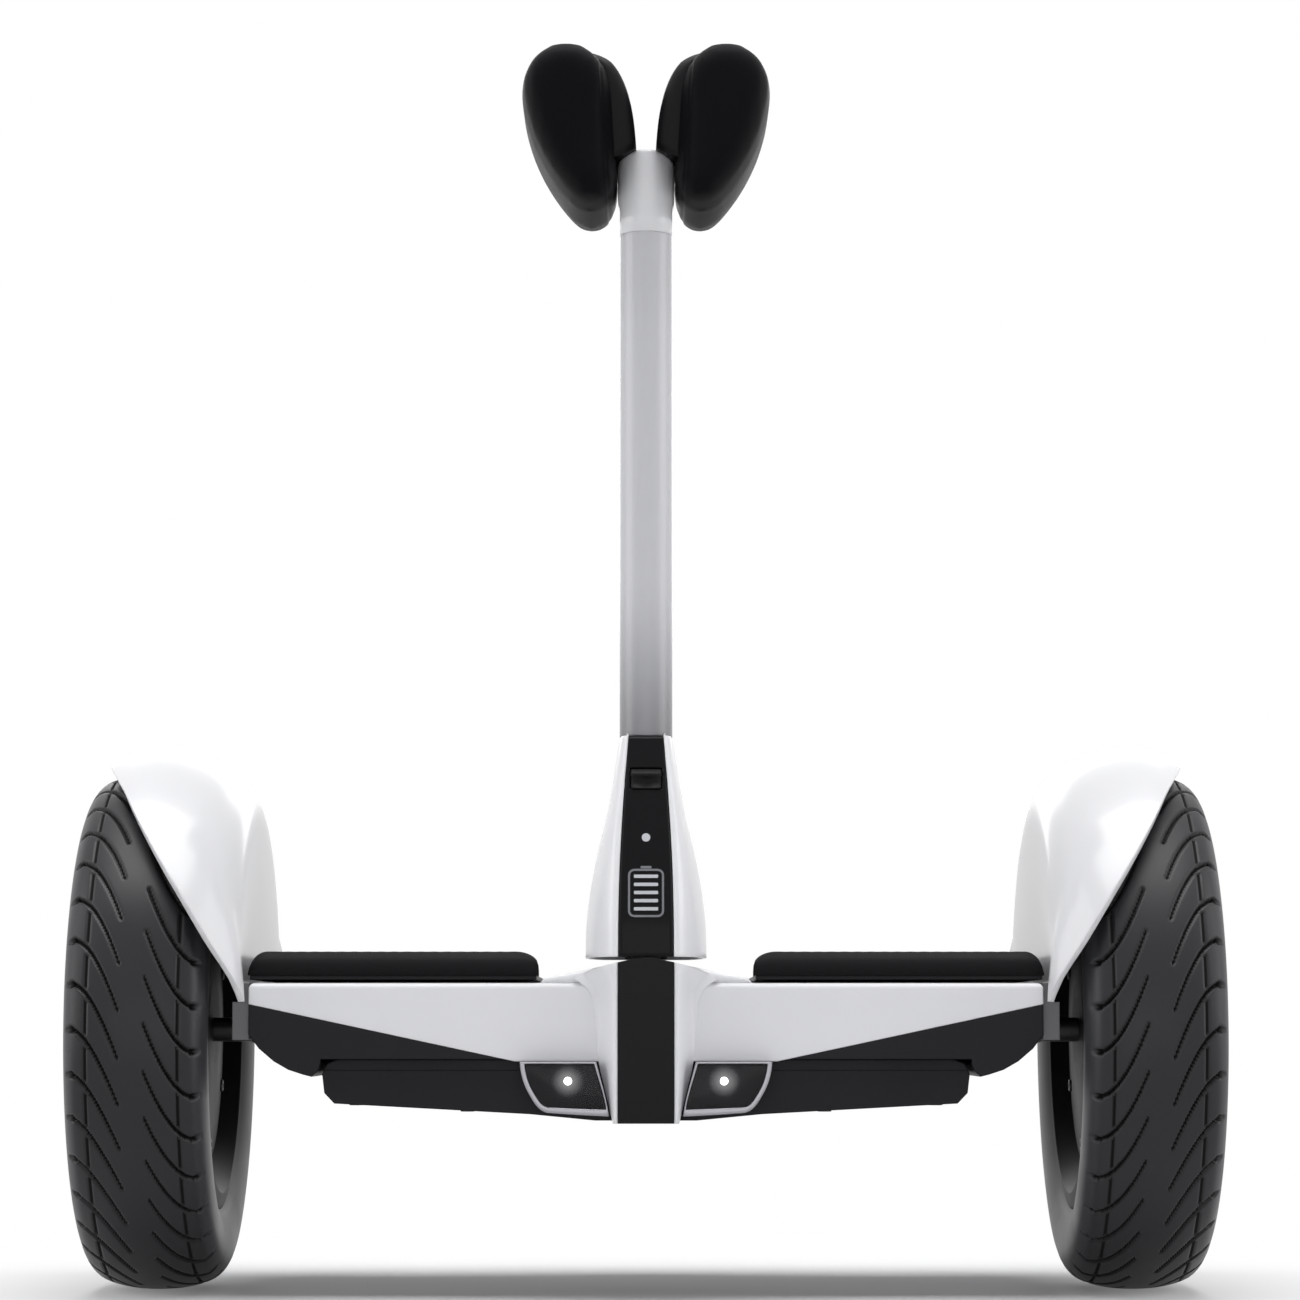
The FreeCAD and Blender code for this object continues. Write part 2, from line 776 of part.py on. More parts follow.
def front_fascia():
    """The white front column, before the frame above and before the battery below."""
    half = [(column_top_half, column_top_z), (column_wide_half, column_wide_z),
            (column_wide_half, column_bottom_z + column_foot_chamfer), (column_foot_half, column_bottom_z)]
    body = front_prism(both_halves(half), column_front_y, lamp_back_y)
    wide = column_wide_half + overrun
    behind = block(-wide, wide, -frame_half_depth, lamp_back_y + overrun,
                   frame_middle_bottom_z, column_top_z + overrun)
    channel = block(-strip_half, strip_half, column_front_y - overrun, column_front_y + strip_depth,
                    column_bottom_z - overrun, column_top_z + overrun)
    return body.cut(behind).cut(channel)


def front_strip():
    return block(-strip_half, strip_half, column_front_y - strip_proud, column_front_y + strip_depth,
                 column_bottom_z, column_top_z)


def dome_outline():
    """The cover's top stays under the path of the neck's flat bottom edge."""
    reach = neck_bottom_z - pivot_z
    turn = math.radians(tilt_limit)
    crown = reach - dome_gap
    flat_x = crown * math.sin(turn)
    flat_z = pivot_z + crown * math.cos(turn)
    far_x = neck_halves[0] * math.cos(turn) + reach * math.sin(turn) + slot_gap
    far_z = flat_z - (far_x - flat_x) * math.tan(turn)
    edge_z = frame_top_z + dome_edge_height
    right = [(dome_half, frame_top_z), (dome_half, edge_z), (far_x, far_z), (flat_x, flat_z)]
    arc = ((0.0, pivot_z + crown), (-flat_x, flat_z))
    left = [(-far_x, far_z), (-dome_half, edge_z), (-dome_half, frame_top_z)]
    return right + [arc] + left


def top_cover():
    """A low roof on the frame that the neck's foot swings over, with a nose down to the column."""
    body = front_prism(dome_outline(), column_front_y, dome_back_y)
    half = column_top_half
    nose = block(-half, half, column_front_y, -frame_half_depth, column_top_z, frame_top_z)
    shoulder = block(half, dome_half + overrun, column_front_y - overrun, -frame_half_depth,
                     column_top_z, neck_bottom_z)
    ramp = side_prism([(neck_backs[0], neck_bottom_z), (dome_back_y, frame_top_z + dome_edge_height),
                       (dome_back_y, neck_bottom_z)], -dome_half - overrun, dome_half + overrun)
    body = joined([body.cut(shoulder).cut(mirrored(shoulder)).cut(ramp), nose])
    channel = block(-strip_half, strip_half, column_front_y - overrun, column_front_y + strip_depth,
                    column_top_z - overrun, neck_bottom_z + overrun)
    return body.cut(channel).cut(web_slot(neck_bottom_z))


def strip_cap():
    """The short strip on the cover between the column and the neck."""
    blank = block(-strip_half, strip_half, column_front_y - strip_proud, column_front_y + strip_depth,
                  column_top_z, neck_bottom_z)
    under_roof = dome_outline()[:-1] + [(-dome_half, column_top_z), (dome_half, column_top_z)]
    return blank.common(front_prism(under_roof, column_front_y - overrun, dome_back_y))


def lamp_face(inset):
    """The lamp's outline pulled in by an inset towards its own middle."""
    cx = sum(x for x, z in lamp_outline) / len(lamp_outline)
    cz = sum(z for x, z in lamp_outline) / len(lamp_outline)
    wide_share = 1 - inset / (lamp_outline[1][0] - cx)
    tall_share = 1 - inset / (lamp_outline[1][1] - cz)
    return [(cx + (x - cx) * wide_share, cz + (z - cz) * tall_share) for x, z in lamp_outline]


def lamp_housing():
    body = front_prism(lamp_outline, lamp_front_y, lamp_back_y)
    recess = front_prism(lamp_face(lamp_rim), lamp_front_y - overrun, lamp_front_y + lamp_lens_depth)
    pocket = rod_y(led_radius, lamp_front_y, lamp_front_y + lamp_lens_depth + led_depth, led_x, led_z)
    return body.cut(recess).cut(pocket)


def lamp_lens():
    return front_prism(lamp_face(lamp_rim), lamp_front_y, lamp_front_y + lamp_lens_depth)


def lamp_led():
    start = lamp_front_y + lamp_lens_depth
    return rod_y(led_radius, start, start + led_depth, led_x, led_z)


def tail_lamp():
    """A rear light of the headlamp's outline, against the side of the rear column."""
    shift = rear_column_half - lamp_outline[-1][0]
    return front_prism([(x + shift, z) for x, z in lamp_outline], -lamp_back_y, -lamp_front_y)


def rear_fascia():
    half = [(rear_column_half, frame_top_z), (rear_column_half, column_bottom_z + column_foot_chamfer),
            (rear_column_half - column_foot_chamfer, column_bottom_z)]
    body = front_prism(both_halves(half), -lamp_back_y, rear_column_y)
    wide = rear_column_half + overrun
    behind = block(-wide, wide, -lamp_back_y - overrun, frame_half_depth,
                   frame_middle_bottom_z, frame_top_z + overrun)
    channel = block(-rear_strip_half, rear_strip_half, rear_column_y - strip_depth, rear_column_y + overrun,
                    column_bottom_z - overrun, frame_top_z + overrun)
    floor_y = rear_column_y - strip_depth
    port = rod_y(port_radius + port_wall, floor_y - port_depth, rear_column_y + overrun, 0, port_z)
    well_floor = floor_y - 2 * button_travel - button_proud
    well = rod_y(button_radius + button_gap, well_floor, rear_column_y, 0, button_z)
    return body.cut(behind).cut(channel).cut(port).cut(well)


def rear_strip():
    body = block(-rear_strip_half, rear_strip_half, rear_column_y - strip_depth, rear_column_y + strip_proud,
                 column_bottom_z, frame_top_z)
    y0, y1 = rear_column_y - strip_depth - overrun, rear_column_y + overrun
    body = body.cut(rod_y(port_radius + port_wall, y0, y1, 0, port_z))
    return body.cut(rod_y(button_radius + button_gap, y0, y1, 0, button_z))


def power_button():
    start = rear_column_y - strip_depth - button_travel
    return rod_y(button_radius, start, rear_column_y + strip_proud + button_proud, 0, button_z)


def charge_port():
    """A round socket, open at the back of the column."""
    front = rear_column_y + strip_proud
    back = rear_column_y - strip_depth - port_depth
    body = rod_y(port_radius + port_wall, back, front, 0, port_z)
    return body.cut(rod_y(port_radius, back + port_wall, front + overrun, 0, port_z))


def charge_cap():
    """A rubber cap on a strap hinge above the socket."""
    face = rear_column_y + strip_proud + button_gap
    disc = rod_y(cap_radius, face, face + cap_thickness, 0, port_z)
    strap = block(-cap_hinge_half, cap_hinge_half, face, face + cap_thickness, port_z, cap_hinge_z)
    barrel = rod_x(cap_hinge_radius, -cap_hinge_half, cap_hinge_half, face + cap_hinge_radius, cap_hinge_z)
    return joined([disc, strap, barrel])


# Steering


def steering_shaft():
    return rod_y(shaft_radius, shaft_front_y, shaft_back_y, 0, pivot_z)


def pivot_ring(start, width):
    ring = rod_y(shaft_radius + bush_wall, start, start + width, 0, pivot_z)
    return ring.cut(rod_y(shaft_radius + running_gap, start - overrun, start + width + overrun, 0, pivot_z))


def pivot_bushes():
    """One bush in the frame's front wall and one in the pillar behind the neck."""
    front = pivot_ring(bush_end_gap - frame_half_depth, frame_wall - bush_end_gap)
    return group([front, pivot_ring(rear_bush_y, bush_width)])


def torsion_sleeve():
    """A rubber sleeve behind the rear bush that twists and brings the neck back upright."""
    start = rear_bush_y + bush_width
    return pivot_ring(start, shaft_back_y - start)


def neck_section(z, half, y0, y1, c):
    """A closed rectangle with chamfered corners across the neck at one height."""
    points = [(half, y1 - c), (half - c, y1), (c - half, y1), (-half, y1 - c),
              (-half, y0 + c), (c - half, y0), (half - c, y0), (half, y0 + c)]
    return outline(points, lambda a, b: vec(a, b, z))


def neck_loft(inset):
    """The neck's tapering outer form, or the same form a wall further in."""
    leg = neck_chamfer - inset * (2 - math.sqrt(2))
    wires = []
    for z, half, y0, y1 in zip(neck_heights, neck_halves, neck_fronts, neck_backs):
        wires.append(neck_section(z, half - inset, y0 + inset, y1 - inset, leg))
    return Part.makeLoft(wires, True, True)


def strip_wedge():
    """The tapering region of the neck's front that the display strip fills."""
    wires = []
    for z, half, y0 in zip(neck_heights, neck_strip_halves, neck_fronts):
        front, back = y0 - overrun, y0 + neck_strip_depth
        points = [(-half, front), (half, front), (half, back), (-half, back)]
        wires.append(outline(points, lambda p, q: vec(p, q, z)))
    return Part.makeLoft(wires, True, True)


def release_front_y():
    """The front of the catch, a little proud of the display strip where it sits."""
    share = (release_z - neck_heights[3]) / (neck_heights[4] - neck_heights[3])
    return neck_fronts[3] + (neck_fronts[4] - neck_fronts[3]) * share - release_proud


def release_pocket(gap):
    half = release_half_width + gap
    tall = release_half_height + gap
    front = release_front_y()
    back = front + release_proud + release_depth + release_travel + gap
    return block(-half, half, front - overrun, back, release_z - tall, release_z + tall)


def release_button():
    front = release_front_y()
    return block(-release_half_width, release_half_width, front, front + release_proud + release_depth,
                 release_z - release_half_height, release_z + release_half_height)


def neck_core():
    """The space inside the covers that the cast neck frame takes."""
    back = neck_backs[-1] - neck_wall
    front = neck_fronts[-1] + neck_strip_depth
    return block(-neck_frame_half, neck_frame_half, front, back, neck_bottom_z, neck_top_z)


def end_plates(inner):
    """What closes the covers at the bottom and the top, one wall thick."""
    b = inner.BoundBox
    low = block(b.XMin, b.XMax, b.YMin, b.YMax, neck_bottom_z, neck_bottom_z + neck_wall)
    high = block(b.XMin, b.XMax, b.YMin, b.YMax, neck_top_z - neck_wall, neck_top_z)
    return group([low, high])


def rear_panel_region():
    half = neck_strip_halves[-1]
    return block(-half, half, neck_backs[-1] - neck_wall, neck_backs[0] + overrun, neck_bottom_z, neck_top_z)


def neck_cover():
    """The left one of the two side covers, closed at its foot and its top."""
    inner = neck_loft(neck_wall)
    shell = neck_loft(0).cut(inner.cut(end_plates(inner)))
    shell = shell.cut(strip_wedge()).cut(neck_core()).cut(rear_panel_region())
    side = block(0, neck_halves[0], neck_fronts[0], neck_backs[0], neck_bottom_z, neck_top_z)
    return shell.common(side)


def neck_rear_panel():
    wall = neck_loft(0).cut(neck_loft(neck_wall))
    return wall.common(rear_panel_region()).cut(neck_core())


def display_panel():
    shape = neck_loft(0).common(strip_wedge())
    return shape.cut(release_pocket(button_gap)).cut(neck_core())


def stadium(half, deep):
    """A closed oval: straight sides with rounded ends, centred on the bar."""
    flat_y = deep - half
    points = [(half, bar_y + flat_y), ((0.0, bar_y + deep), (-half, bar_y + flat_y)), (-half, bar_y - flat_y),
              ((0.0, bar_y - deep), (half, bar_y - flat_y))]
    return points


def oval_prism(half, deep, z0, z1):
    face = Part.Face(outline(stadium(half, deep), lambda a, b: vec(a, b, z0)))
    return face.extrude(vec(0, 0, z1 - z0))


def tube_bore(z0, z1):
    return oval_prism(tube_half_width - tube_wall, tube_half_depth - tube_wall, z0, z1)


def spigot(gap, top):
    return oval_prism(spigot_half_width + gap, spigot_half_depth + gap, spigot_bottom_z - gap, top)


def neck_frame():
    """Casting: pivot hub, web, and the socket column for the bar."""
    hub = rod_y(hub_radius, web_front_y, web_back_y, 0, pivot_z)
    web = block(-web_half, web_half, web_front_y, web_back_y, pivot_z, neck_bottom_z)
    column = neck_core().cut(release_pocket(button_gap))
    body = joined([hub, web, column])
    body = body.cut(spigot(socket_gap, neck_top_z + overrun))
    return body.cut(rod_y(shaft_radius, web_front_y - overrun, web_back_y + overrun, 0, pivot_z))


# Knee bar


def bar_tube():
    outer = oval_prism(tube_half_width, tube_half_depth, neck_top_z, tube_top_z)
    return outer.cut(tube_bore(neck_top_z - overrun, tube_top_z + overrun))


def bar_plug():
    """The spigot under the tube that drops into the neck, with its grip inside the tube."""
    return joined([spigot(0, neck_top_z), tube_bore(neck_top_z, neck_top_z + spigot_grip)])


def yoke_arch():
    """A rod along the platform's depth whose top is the arched top of the yoke."""
    radius = (yoke_half_width ** 2 + yoke_crown ** 2) / (2 * yoke_crown)
    reach = bracket_length / 2 + overrun
    return rod_y(radius, bar_y - reach, bar_y + reach, 0, yoke_top_z - radius)


def yoke():
    """The head of the bar, plugged into the tube, with an arched top that carries the pads' brackets."""
    body = oval_prism(yoke_half_width, yoke_half_depth, tube_top_z, yoke_top_z)
    plug = tube_bore(tube_top_z - yoke_grip, tube_top_z)
    return joined([body.common(yoke_arch()), plug])


def pad_section(y, draw_in):
    """The pad's rounded outline across the bar, drawn in evenly all round.

    A large circle at the crown and a small one at the foot, with a bulging side and a straight inner side.
    """
    crown_r = pad_crown_radius
    foot_r = pad_foot_radius
    crown = pad_crown_centre
    foot = (yoke_half_width + pad_seat_gap + foot_r, pad_bottom_z + foot_r)
    apart = math.dist(crown, foot)
    lean = math.atan2(foot[1] - crown[1], foot[0] - crown[0])
    inner = lean - math.acos((crown_r - foot_r) / apart)

    # The centre of the side's circle, which holds the other two from within
    near = pad_side_radius - crown_r
    far = pad_side_radius - foot_r
    swing = math.acos((near ** 2 + apart ** 2 - far ** 2) / (2 * near * apart))
    to_side = lean - swing
    side = (crown[0] + near * math.cos(to_side), crown[1] + near * math.sin(to_side))
    high = math.atan2(crown[1] - side[1], crown[0] - side[0])
    low = math.atan2(foot[1] - side[1], foot[0] - side[0])

    def at(centre, radius, turn):
        reach = radius - draw_in
        return centre[0] + reach * math.cos(turn), centre[1] + reach * math.sin(turn)

    inner += 2 * math.pi
    top = (inner + high) / 2
    points = [at(crown, crown_r, inner),
              (at(crown, crown_r, (inner + top) / 2), at(crown, crown_r, top)),
              (at(crown, crown_r, (top + high) / 2), at(crown, crown_r, high)),
              (at(side, pad_side_radius, (high + low) / 2), at(side, pad_side_radius, low))]
    foot_turn = low + inner - 2 * math.pi
    points.append((at(foot, foot_r, foot_turn / 2), at(foot, foot_r, inner - 2 * math.pi)))
    return outline(points, lambda a, b: vec(a, y, b))


def knee_pad():
    half = pad_length / 2
    wires = [pad_section(bar_y + half * along, pad_draw_in * drawn) for along, drawn in pad_draw_shares]
    return Part.makeLoft(wires, True, True)


def pad_bracket():
    """A curved hard shell that stands on the yoke and holds the pad's inner side up to its crown."""
    pad_side = yoke_half_width
    foot_z = yoke_top_z - yoke_crown
    curve = (bracket_back, bracket_bend, bracket_top, bracket_tip)
    back, bend, top, tip = [(pad_inner_x + out, yoke_top_z + up) for out, up in curve]
    points = [(pad_inner_x, foot_z), (pad_inner_x, yoke_top_z), (back, bend), (top, tip), pad_crown_centre,
              (pad_side, yoke_top_z), (pad_side, foot_z)]
    start = bar_y - bracket_length / 2
    body = front_prism(points, start, start + bracket_length)
    pad_prism = Part.Face(pad_section(start, 0)).extrude(vec(0, bracket_length, 0))
    return body.cut(yoke_arch()).cut(pad_prism)


# Foot mats


def mat_plate_bottom():
    return frame_top_z + mat_travel + mat_rest_gap


def peg_places():
    x0 = mat_inner_x + peg_inset_x
    x1 = mat_outer_x - 2 * peg_inset_x
    y = mat_half_depth - peg_inset_y
    return [(x0, -y), (x0, y), (x1, -y), (x1, y)]


def mat_plate():
    """The hard plate under a mat; its pegs pass through the frame and press the switches."""
    low = mat_plate_bottom()
    inset = mat_plate_inset
    deep = mat_half_depth - inset
    plate = block(mat_inner_x + inset, mat_outer_x - inset, -deep, deep, low, low + mat_plate_thickness)
    pegs = [rod_z(peg_radius, low - peg_reach, low, x, y) for x, y in peg_places()]
    return joined([plate] + pegs)


def foot_mat():
    """Rubber mat with grooves across the foot and its edges rounded and sloped."""
    low = mat_plate_bottom() + mat_plate_thickness
    c = mat_corner * (1 - math.sqrt(0.5))
    top, left, right = mat_top_z, mat_inner_x, mat_outer_x
    points = [(left, low), (left, top - mat_corner), ((left + c, top - c), (left + mat_corner, top)),
              (right - mat_corner, top), ((right - c, top - c), (right, top - mat_corner)), (right, low)]
    body = front_prism(points, -mat_half_depth, mat_half_depth)
    pitch = (right - left - 2 * mat_corner) / mat_rib_count
    far = mat_half_depth + overrun
    for i in range(mat_rib_count):
        x = left + mat_corner + pitch * (i + 0.5) - mat_groove_width / 2
        body = body.cut(block(x, x + mat_groove_width, -far, far, top - mat_groove_depth, top + overrun))
    low_edge = top - mat_end_chamfer
    wedge = [(mat_half_depth, low_edge), (mat_half_depth - mat_end_chamfer, top), (far, top + overrun),
             (far, low_edge)]
    back = side_prism(wedge, left - overrun, right + overrun)
    return body.cut(back).cut(back.mirror(vec(0, 0, 0), vec(0, 1, 0)))


def build():
    save_pair("tyre", tyre())
    save_pair("rim", rim())
    save_pair("valve", valve())
    save_pair("motor_cover", motor_cover())
    save_pair("magnets", magnets())
    save_pair("fender", fender())
    static = [axle(), stator(), axle_clamp(), fender_bracket()]
    for name, shape in zip(("wheel_axles", "stators", "axle_clamps", "fender_brackets"), static):
        save(name, group([shape, mirrored(shape)]))
    save("wheel_bearings", group(bearings() + [mirrored(b) for b in bearings()]))
    save("main_frame", main_frame())
    save("belly_pan", belly_pan())
    save("battery_case", battery_case())
    save("battery_lid", battery_lid())
    save("battery_cells", battery_cells())
    save("control_board", control_board())
    save("foot_switches", foot_switches())
    save("front_fascia", front_fascia())
    save("front_strip", front_strip())
    save("top_cover", top_cover())
    save("strip_cap", strip_cap())
    save_pair("lamp_housing", lamp_housing())
    save_pair("lamp_lens", lamp_lens())
    save("lamp_leds", group([lamp_led(), mirrored(lamp_led())]))
    save_pair("tail_lamp", tail_lamp())
    save("rear_fascia", rear_fascia())
    save("rear_strip", rear_strip())
    save("power_button", power_button())
    save("charge_port", charge_port())
    save("charge_cap", charge_cap())
    save("steering_shaft", steering_shaft())
    save("pivot_bushes", pivot_bushes())
    save("torsion_sleeve", torsion_sleeve())
    save("neck_frame", neck_frame())
    save_pair("neck_cover", neck_cover())
    save("neck_rear_panel", neck_rear_panel())
    save("display_panel", display_panel())
    save("release_button", release_button())
    save("bar_tube", bar_tube())
    save("bar_plug", bar_plug())
    save("yoke", yoke())
    save_pair("pad_bracket", pad_bracket())
    save_pair("knee_pad", knee_pad())
    save_pair("mat_plate", mat_plate())
    save_pair("foot_mat", foot_mat())


build()
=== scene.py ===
# %% [markdown]
# # A self balancing transporter, dressed for its studio picture
#
# The model arrives as one rigid frame of named parts, already in metres and already in place.
# This notebook gives every part its real finish, and rebuilds in finer detail the skins that the
# eye rests on: tyres, fenders, knee pads with their shells, bar head, lamps, neck, front column,
# display, catch, foot mats and the cover under the neck. Screws and hub caps are added.
# Nothing here moves a part of the frame: a new piece either sits on one or stands in for it.

import json
import math

import bmesh
import bpy
import mathutils
from mathutils import Matrix, Vector


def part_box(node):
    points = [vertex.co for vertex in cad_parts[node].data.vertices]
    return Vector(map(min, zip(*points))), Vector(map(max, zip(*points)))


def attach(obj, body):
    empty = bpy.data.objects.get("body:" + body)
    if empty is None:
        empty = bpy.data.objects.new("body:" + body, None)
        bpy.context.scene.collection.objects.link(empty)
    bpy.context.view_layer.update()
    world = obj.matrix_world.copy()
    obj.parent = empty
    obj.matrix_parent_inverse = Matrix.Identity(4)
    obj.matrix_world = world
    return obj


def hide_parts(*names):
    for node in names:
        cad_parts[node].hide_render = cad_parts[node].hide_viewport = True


MM = 0.001

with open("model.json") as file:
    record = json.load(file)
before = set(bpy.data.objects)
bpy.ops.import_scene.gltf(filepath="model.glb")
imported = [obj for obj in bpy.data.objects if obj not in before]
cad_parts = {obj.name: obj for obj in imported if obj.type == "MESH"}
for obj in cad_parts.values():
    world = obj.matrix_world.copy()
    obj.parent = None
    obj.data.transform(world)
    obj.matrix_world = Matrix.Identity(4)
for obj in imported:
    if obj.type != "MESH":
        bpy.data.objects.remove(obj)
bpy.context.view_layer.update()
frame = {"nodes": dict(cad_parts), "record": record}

# %% [markdown]
# ## The camera
#
# A product picture of something this low is taken with a long lens from just above the floor:
# the wheels' axle is level with the lens, and the camera looks up a little to take in the pads.
# A long lens keeps the two wheels the same size, and the small shift lowers the wheels in the
# picture without leaning the bar back.

# %% Camera
PHOTO_SIDE = 1300
FOCAL_PIXELS = 3800.0
CAMERA_DISTANCE = 1.9
CAMERA_HEIGHT = 0.128
CAMERA_PITCH = 4.4
CAMERA_YAW = -0.06
SHIFT_UP = 0.067


def stand(name, data):
    """A new object in the scene for a mesh, a lamp or a camera."""
    made = bpy.data.objects.new(name, data)
    bpy.context.collection.objects.link(made)
    return made


camera_data = bpy.data.cameras.new("studio_camera")
camera_data.sensor_width = 36.0
camera_data.lens = FOCAL_PIXELS / PHOTO_SIDE * camera_data.sensor_width
camera_data.shift_y = SHIFT_UP
camera = stand("studio_camera", camera_data)
camera.location = (0.0, -CAMERA_DISTANCE, CAMERA_HEIGHT)
camera.rotation_euler = (math.radians(90 + CAMERA_PITCH), 0.0, math.radians(CAMERA_YAW))
bpy.context.scene.camera = camera
bpy.context.scene.view_settings.view_transform = "Standard"
print("lens %.1f mm" % camera_data.lens)

# %% [markdown]
# ## The studio
#
# White paint on white paper needs soft, uneven light: two tall side boxes draw the bright edges
# on the bar and the fenders, a broad one overhead lights the mats and the crowns, and a weaker
# front one fills the rest. The floor and the world are plain white to the camera and in
# reflections only, so the background is clean while the object gets a plain level of light.
# Near the wheels the floor is real paper that takes the shadow, and further out it turns white.

# %% Lights


def softbox(name, place, target, width, height, power):
    light = bpy.data.lights.new(name, "AREA")
    light.shape = "RECTANGLE"
    light.size = width
    light.size_y = height
    light.energy = power
    lamp = stand(name, light)
    lamp.location = place
    lamp.rotation_euler = (Vector(target) - Vector(place)).to_track_quat("-Z", "Y").to_euler()


softbox("side_box_left", (1.6, -0.35, 0.75), (0, 0, 0.28), 1.0, 1.5, 9.0)
softbox("side_box_right", (-1.6, -0.35, 0.75), (0, 0, 0.28), 1.0, 1.5, 9.0)
softbox("top_box", (0, -0.3, 1.9), (0, 0, 0.2), 1.8, 1.3, 33.5)
softbox("front_fill", (0, -2.6, 0.3), (0, 0, 0.15), 2.2, 0.6, 4.2)
softbox("back_fill", (0, 1.8, 1.0), (0, 0, 0.3), 1.6, 1.0, 10.0)

# %% World


def node(tree, kind, values=None, label="", **settings):
    """A shader node with its settings, and with the values of its sockets."""
    made = tree.nodes.new("ShaderNode" + kind)
    made.label = label
    for name, value in settings.items():
        setattr(made, name, value)
    for socket, value in (values or {}).items():
        made.inputs[socket].default_value = value
    return made


def join(tree, *pairs):
    """Links from one socket to another, given as pairs."""
    for source, target in pairs:
        tree.links.new(source, target)


def shown_to(tree):
    """One for rays from the camera, through glass or off a glossy face, and nothing for the rest."""
    rays = node(tree, "LightPath")
    last = rays.outputs["Is Camera Ray"]
    for name in ("Is Glossy Ray", "Is Transmission Ray"):
        larger = node(tree, "Math", operation="MAXIMUM")
        join(tree, (last, larger.inputs[0]), (rays.outputs[name], larger.inputs[1]))
        last = larger.outputs[0]
    return last


world = bpy.data.worlds.new("studio")
bpy.context.scene.world = world
world.use_nodes = True
tree = world.node_tree
tree.nodes.clear()
room = node(tree, "Background", {"Color": (0.93, 0.95, 1.0, 1), "Strength": 0.24})
paper = node(tree, "Background", {"Color": (1, 1, 1, 1), "Strength": 1.0})
choose = node(tree, "MixShader")
output = node(tree, "OutputWorld")
join(tree, (shown_to(tree), choose.inputs["Fac"]), (room.outputs[0], choose.inputs[1]),
     (paper.outputs[0], choose.inputs[2]), (choose.outputs[0], output.inputs["Surface"]))

# %% Floor
FLOOR_HALF = 9.0
SHADOW_FULL = 0.20
SHADOW_GONE = 0.50

bm = bmesh.new()
bmesh.ops.create_grid(bm, x_segments=1, y_segments=1, size=FLOOR_HALF)
floor_mesh = bpy.data.meshes.new("floor")
bm.to_mesh(floor_mesh)
bm.free()
floor = stand("floor", floor_mesh)

floor_paint = bpy.data.materials.new("floor_paper")
floor_paint.use_nodes = True
tree = floor_paint.node_tree
tree.nodes.clear()
matt = node(tree, "BsdfDiffuse", {"Color": (0.86, 0.86, 0.86, 1)})
glow = node(tree, "Emission", {"Color": (1, 1, 1, 1), "Strength": 1.0})
place = node(tree, "TexCoord")
distance = node(tree, "VectorMath", operation="LENGTH")
fade = node(tree, "MapRange", {"From Min": SHADOW_FULL, "From Max": SHADOW_GONE, "To Min": 0.05, "To Max": 1.0})
shown = node(tree, "Math", operation="MULTIPLY")
mix = node(tree, "MixShader")
output = node(tree, "OutputMaterial")
join(tree, (place.outputs["Object"], distance.inputs[0]), (distance.outputs["Value"], fade.inputs["Value"]),
     (fade.outputs["Result"], shown.inputs[0]), (shown_to(tree), shown.inputs[1]),
     (shown.outputs[0], mix.inputs["Fac"]), (matt.outputs[0], mix.inputs[1]), (glow.outputs[0], mix.inputs[2]),
     (mix.outputs[0], output.inputs["Surface"]))
floor.data.materials.append(floor_paint)

# %% [markdown]
# ## Effects that several finishes share
#
# Moulded plastic, coated metal and rubber all have a grain, and all of them gather a little dust
# on faces that look up and a little unevenness in their gloss. Each effect is a node group with
# named inputs, built once and given its own values in each finish. The groups only put out
# values and colours: the shader itself stays in the material.

# %% Group helper


def new_group(name, inputs, outputs):
    """A shader node group with sockets given as (name, kind, value) or (name, kind)."""
    group = bpy.data.node_groups.new(name, "ShaderNodeTree")
    for label, kind, value in inputs:
        socket = group.interface.new_socket(label, in_out="INPUT", socket_type="NodeSocket" + kind)
        socket.default_value = value
    for label, kind in outputs:
        group.interface.new_socket(label, in_out="OUTPUT", socket_type="NodeSocket" + kind)
    return group, group.nodes.new("NodeGroupInput"), group.nodes.new("NodeGroupOutput")


# %% Grain group
# Two sizes of noise in Object coordinates: a coarse one for colour and gloss, a fine one for height.
grain, given, put = new_group(
    "moulded_grain",
    [("Grain size", "Float", 900.0), ("Stretch", "Vector", (1, 1, 1)), ("Patch size", "Float", 14.0)],
    [("Height", "Float"), ("Patches", "Float")])
place = node(grain, "TexCoord")
scaled = node(grain, "VectorMath", operation="MULTIPLY")
fine = node(grain, "TexNoise", {"Detail": 3.0, "Roughness": 0.6})
patch = node(grain, "TexNoise", {"Detail": 4.0, "Roughness": 0.55})
join(grain, (place.outputs["Object"], scaled.inputs[0]), (given.outputs["Stretch"], scaled.inputs[1]),
     (scaled.outputs[0], fine.inputs["Vector"]), (given.outputs["Grain size"], fine.inputs["Scale"]),
     (place.outputs["Object"], patch.inputs["Vector"]), (given.outputs["Patch size"], patch.inputs["Scale"]),
     (fine.outputs["Fac"], put.inputs["Height"]), (patch.outputs["Fac"], put.inputs["Patches"]))

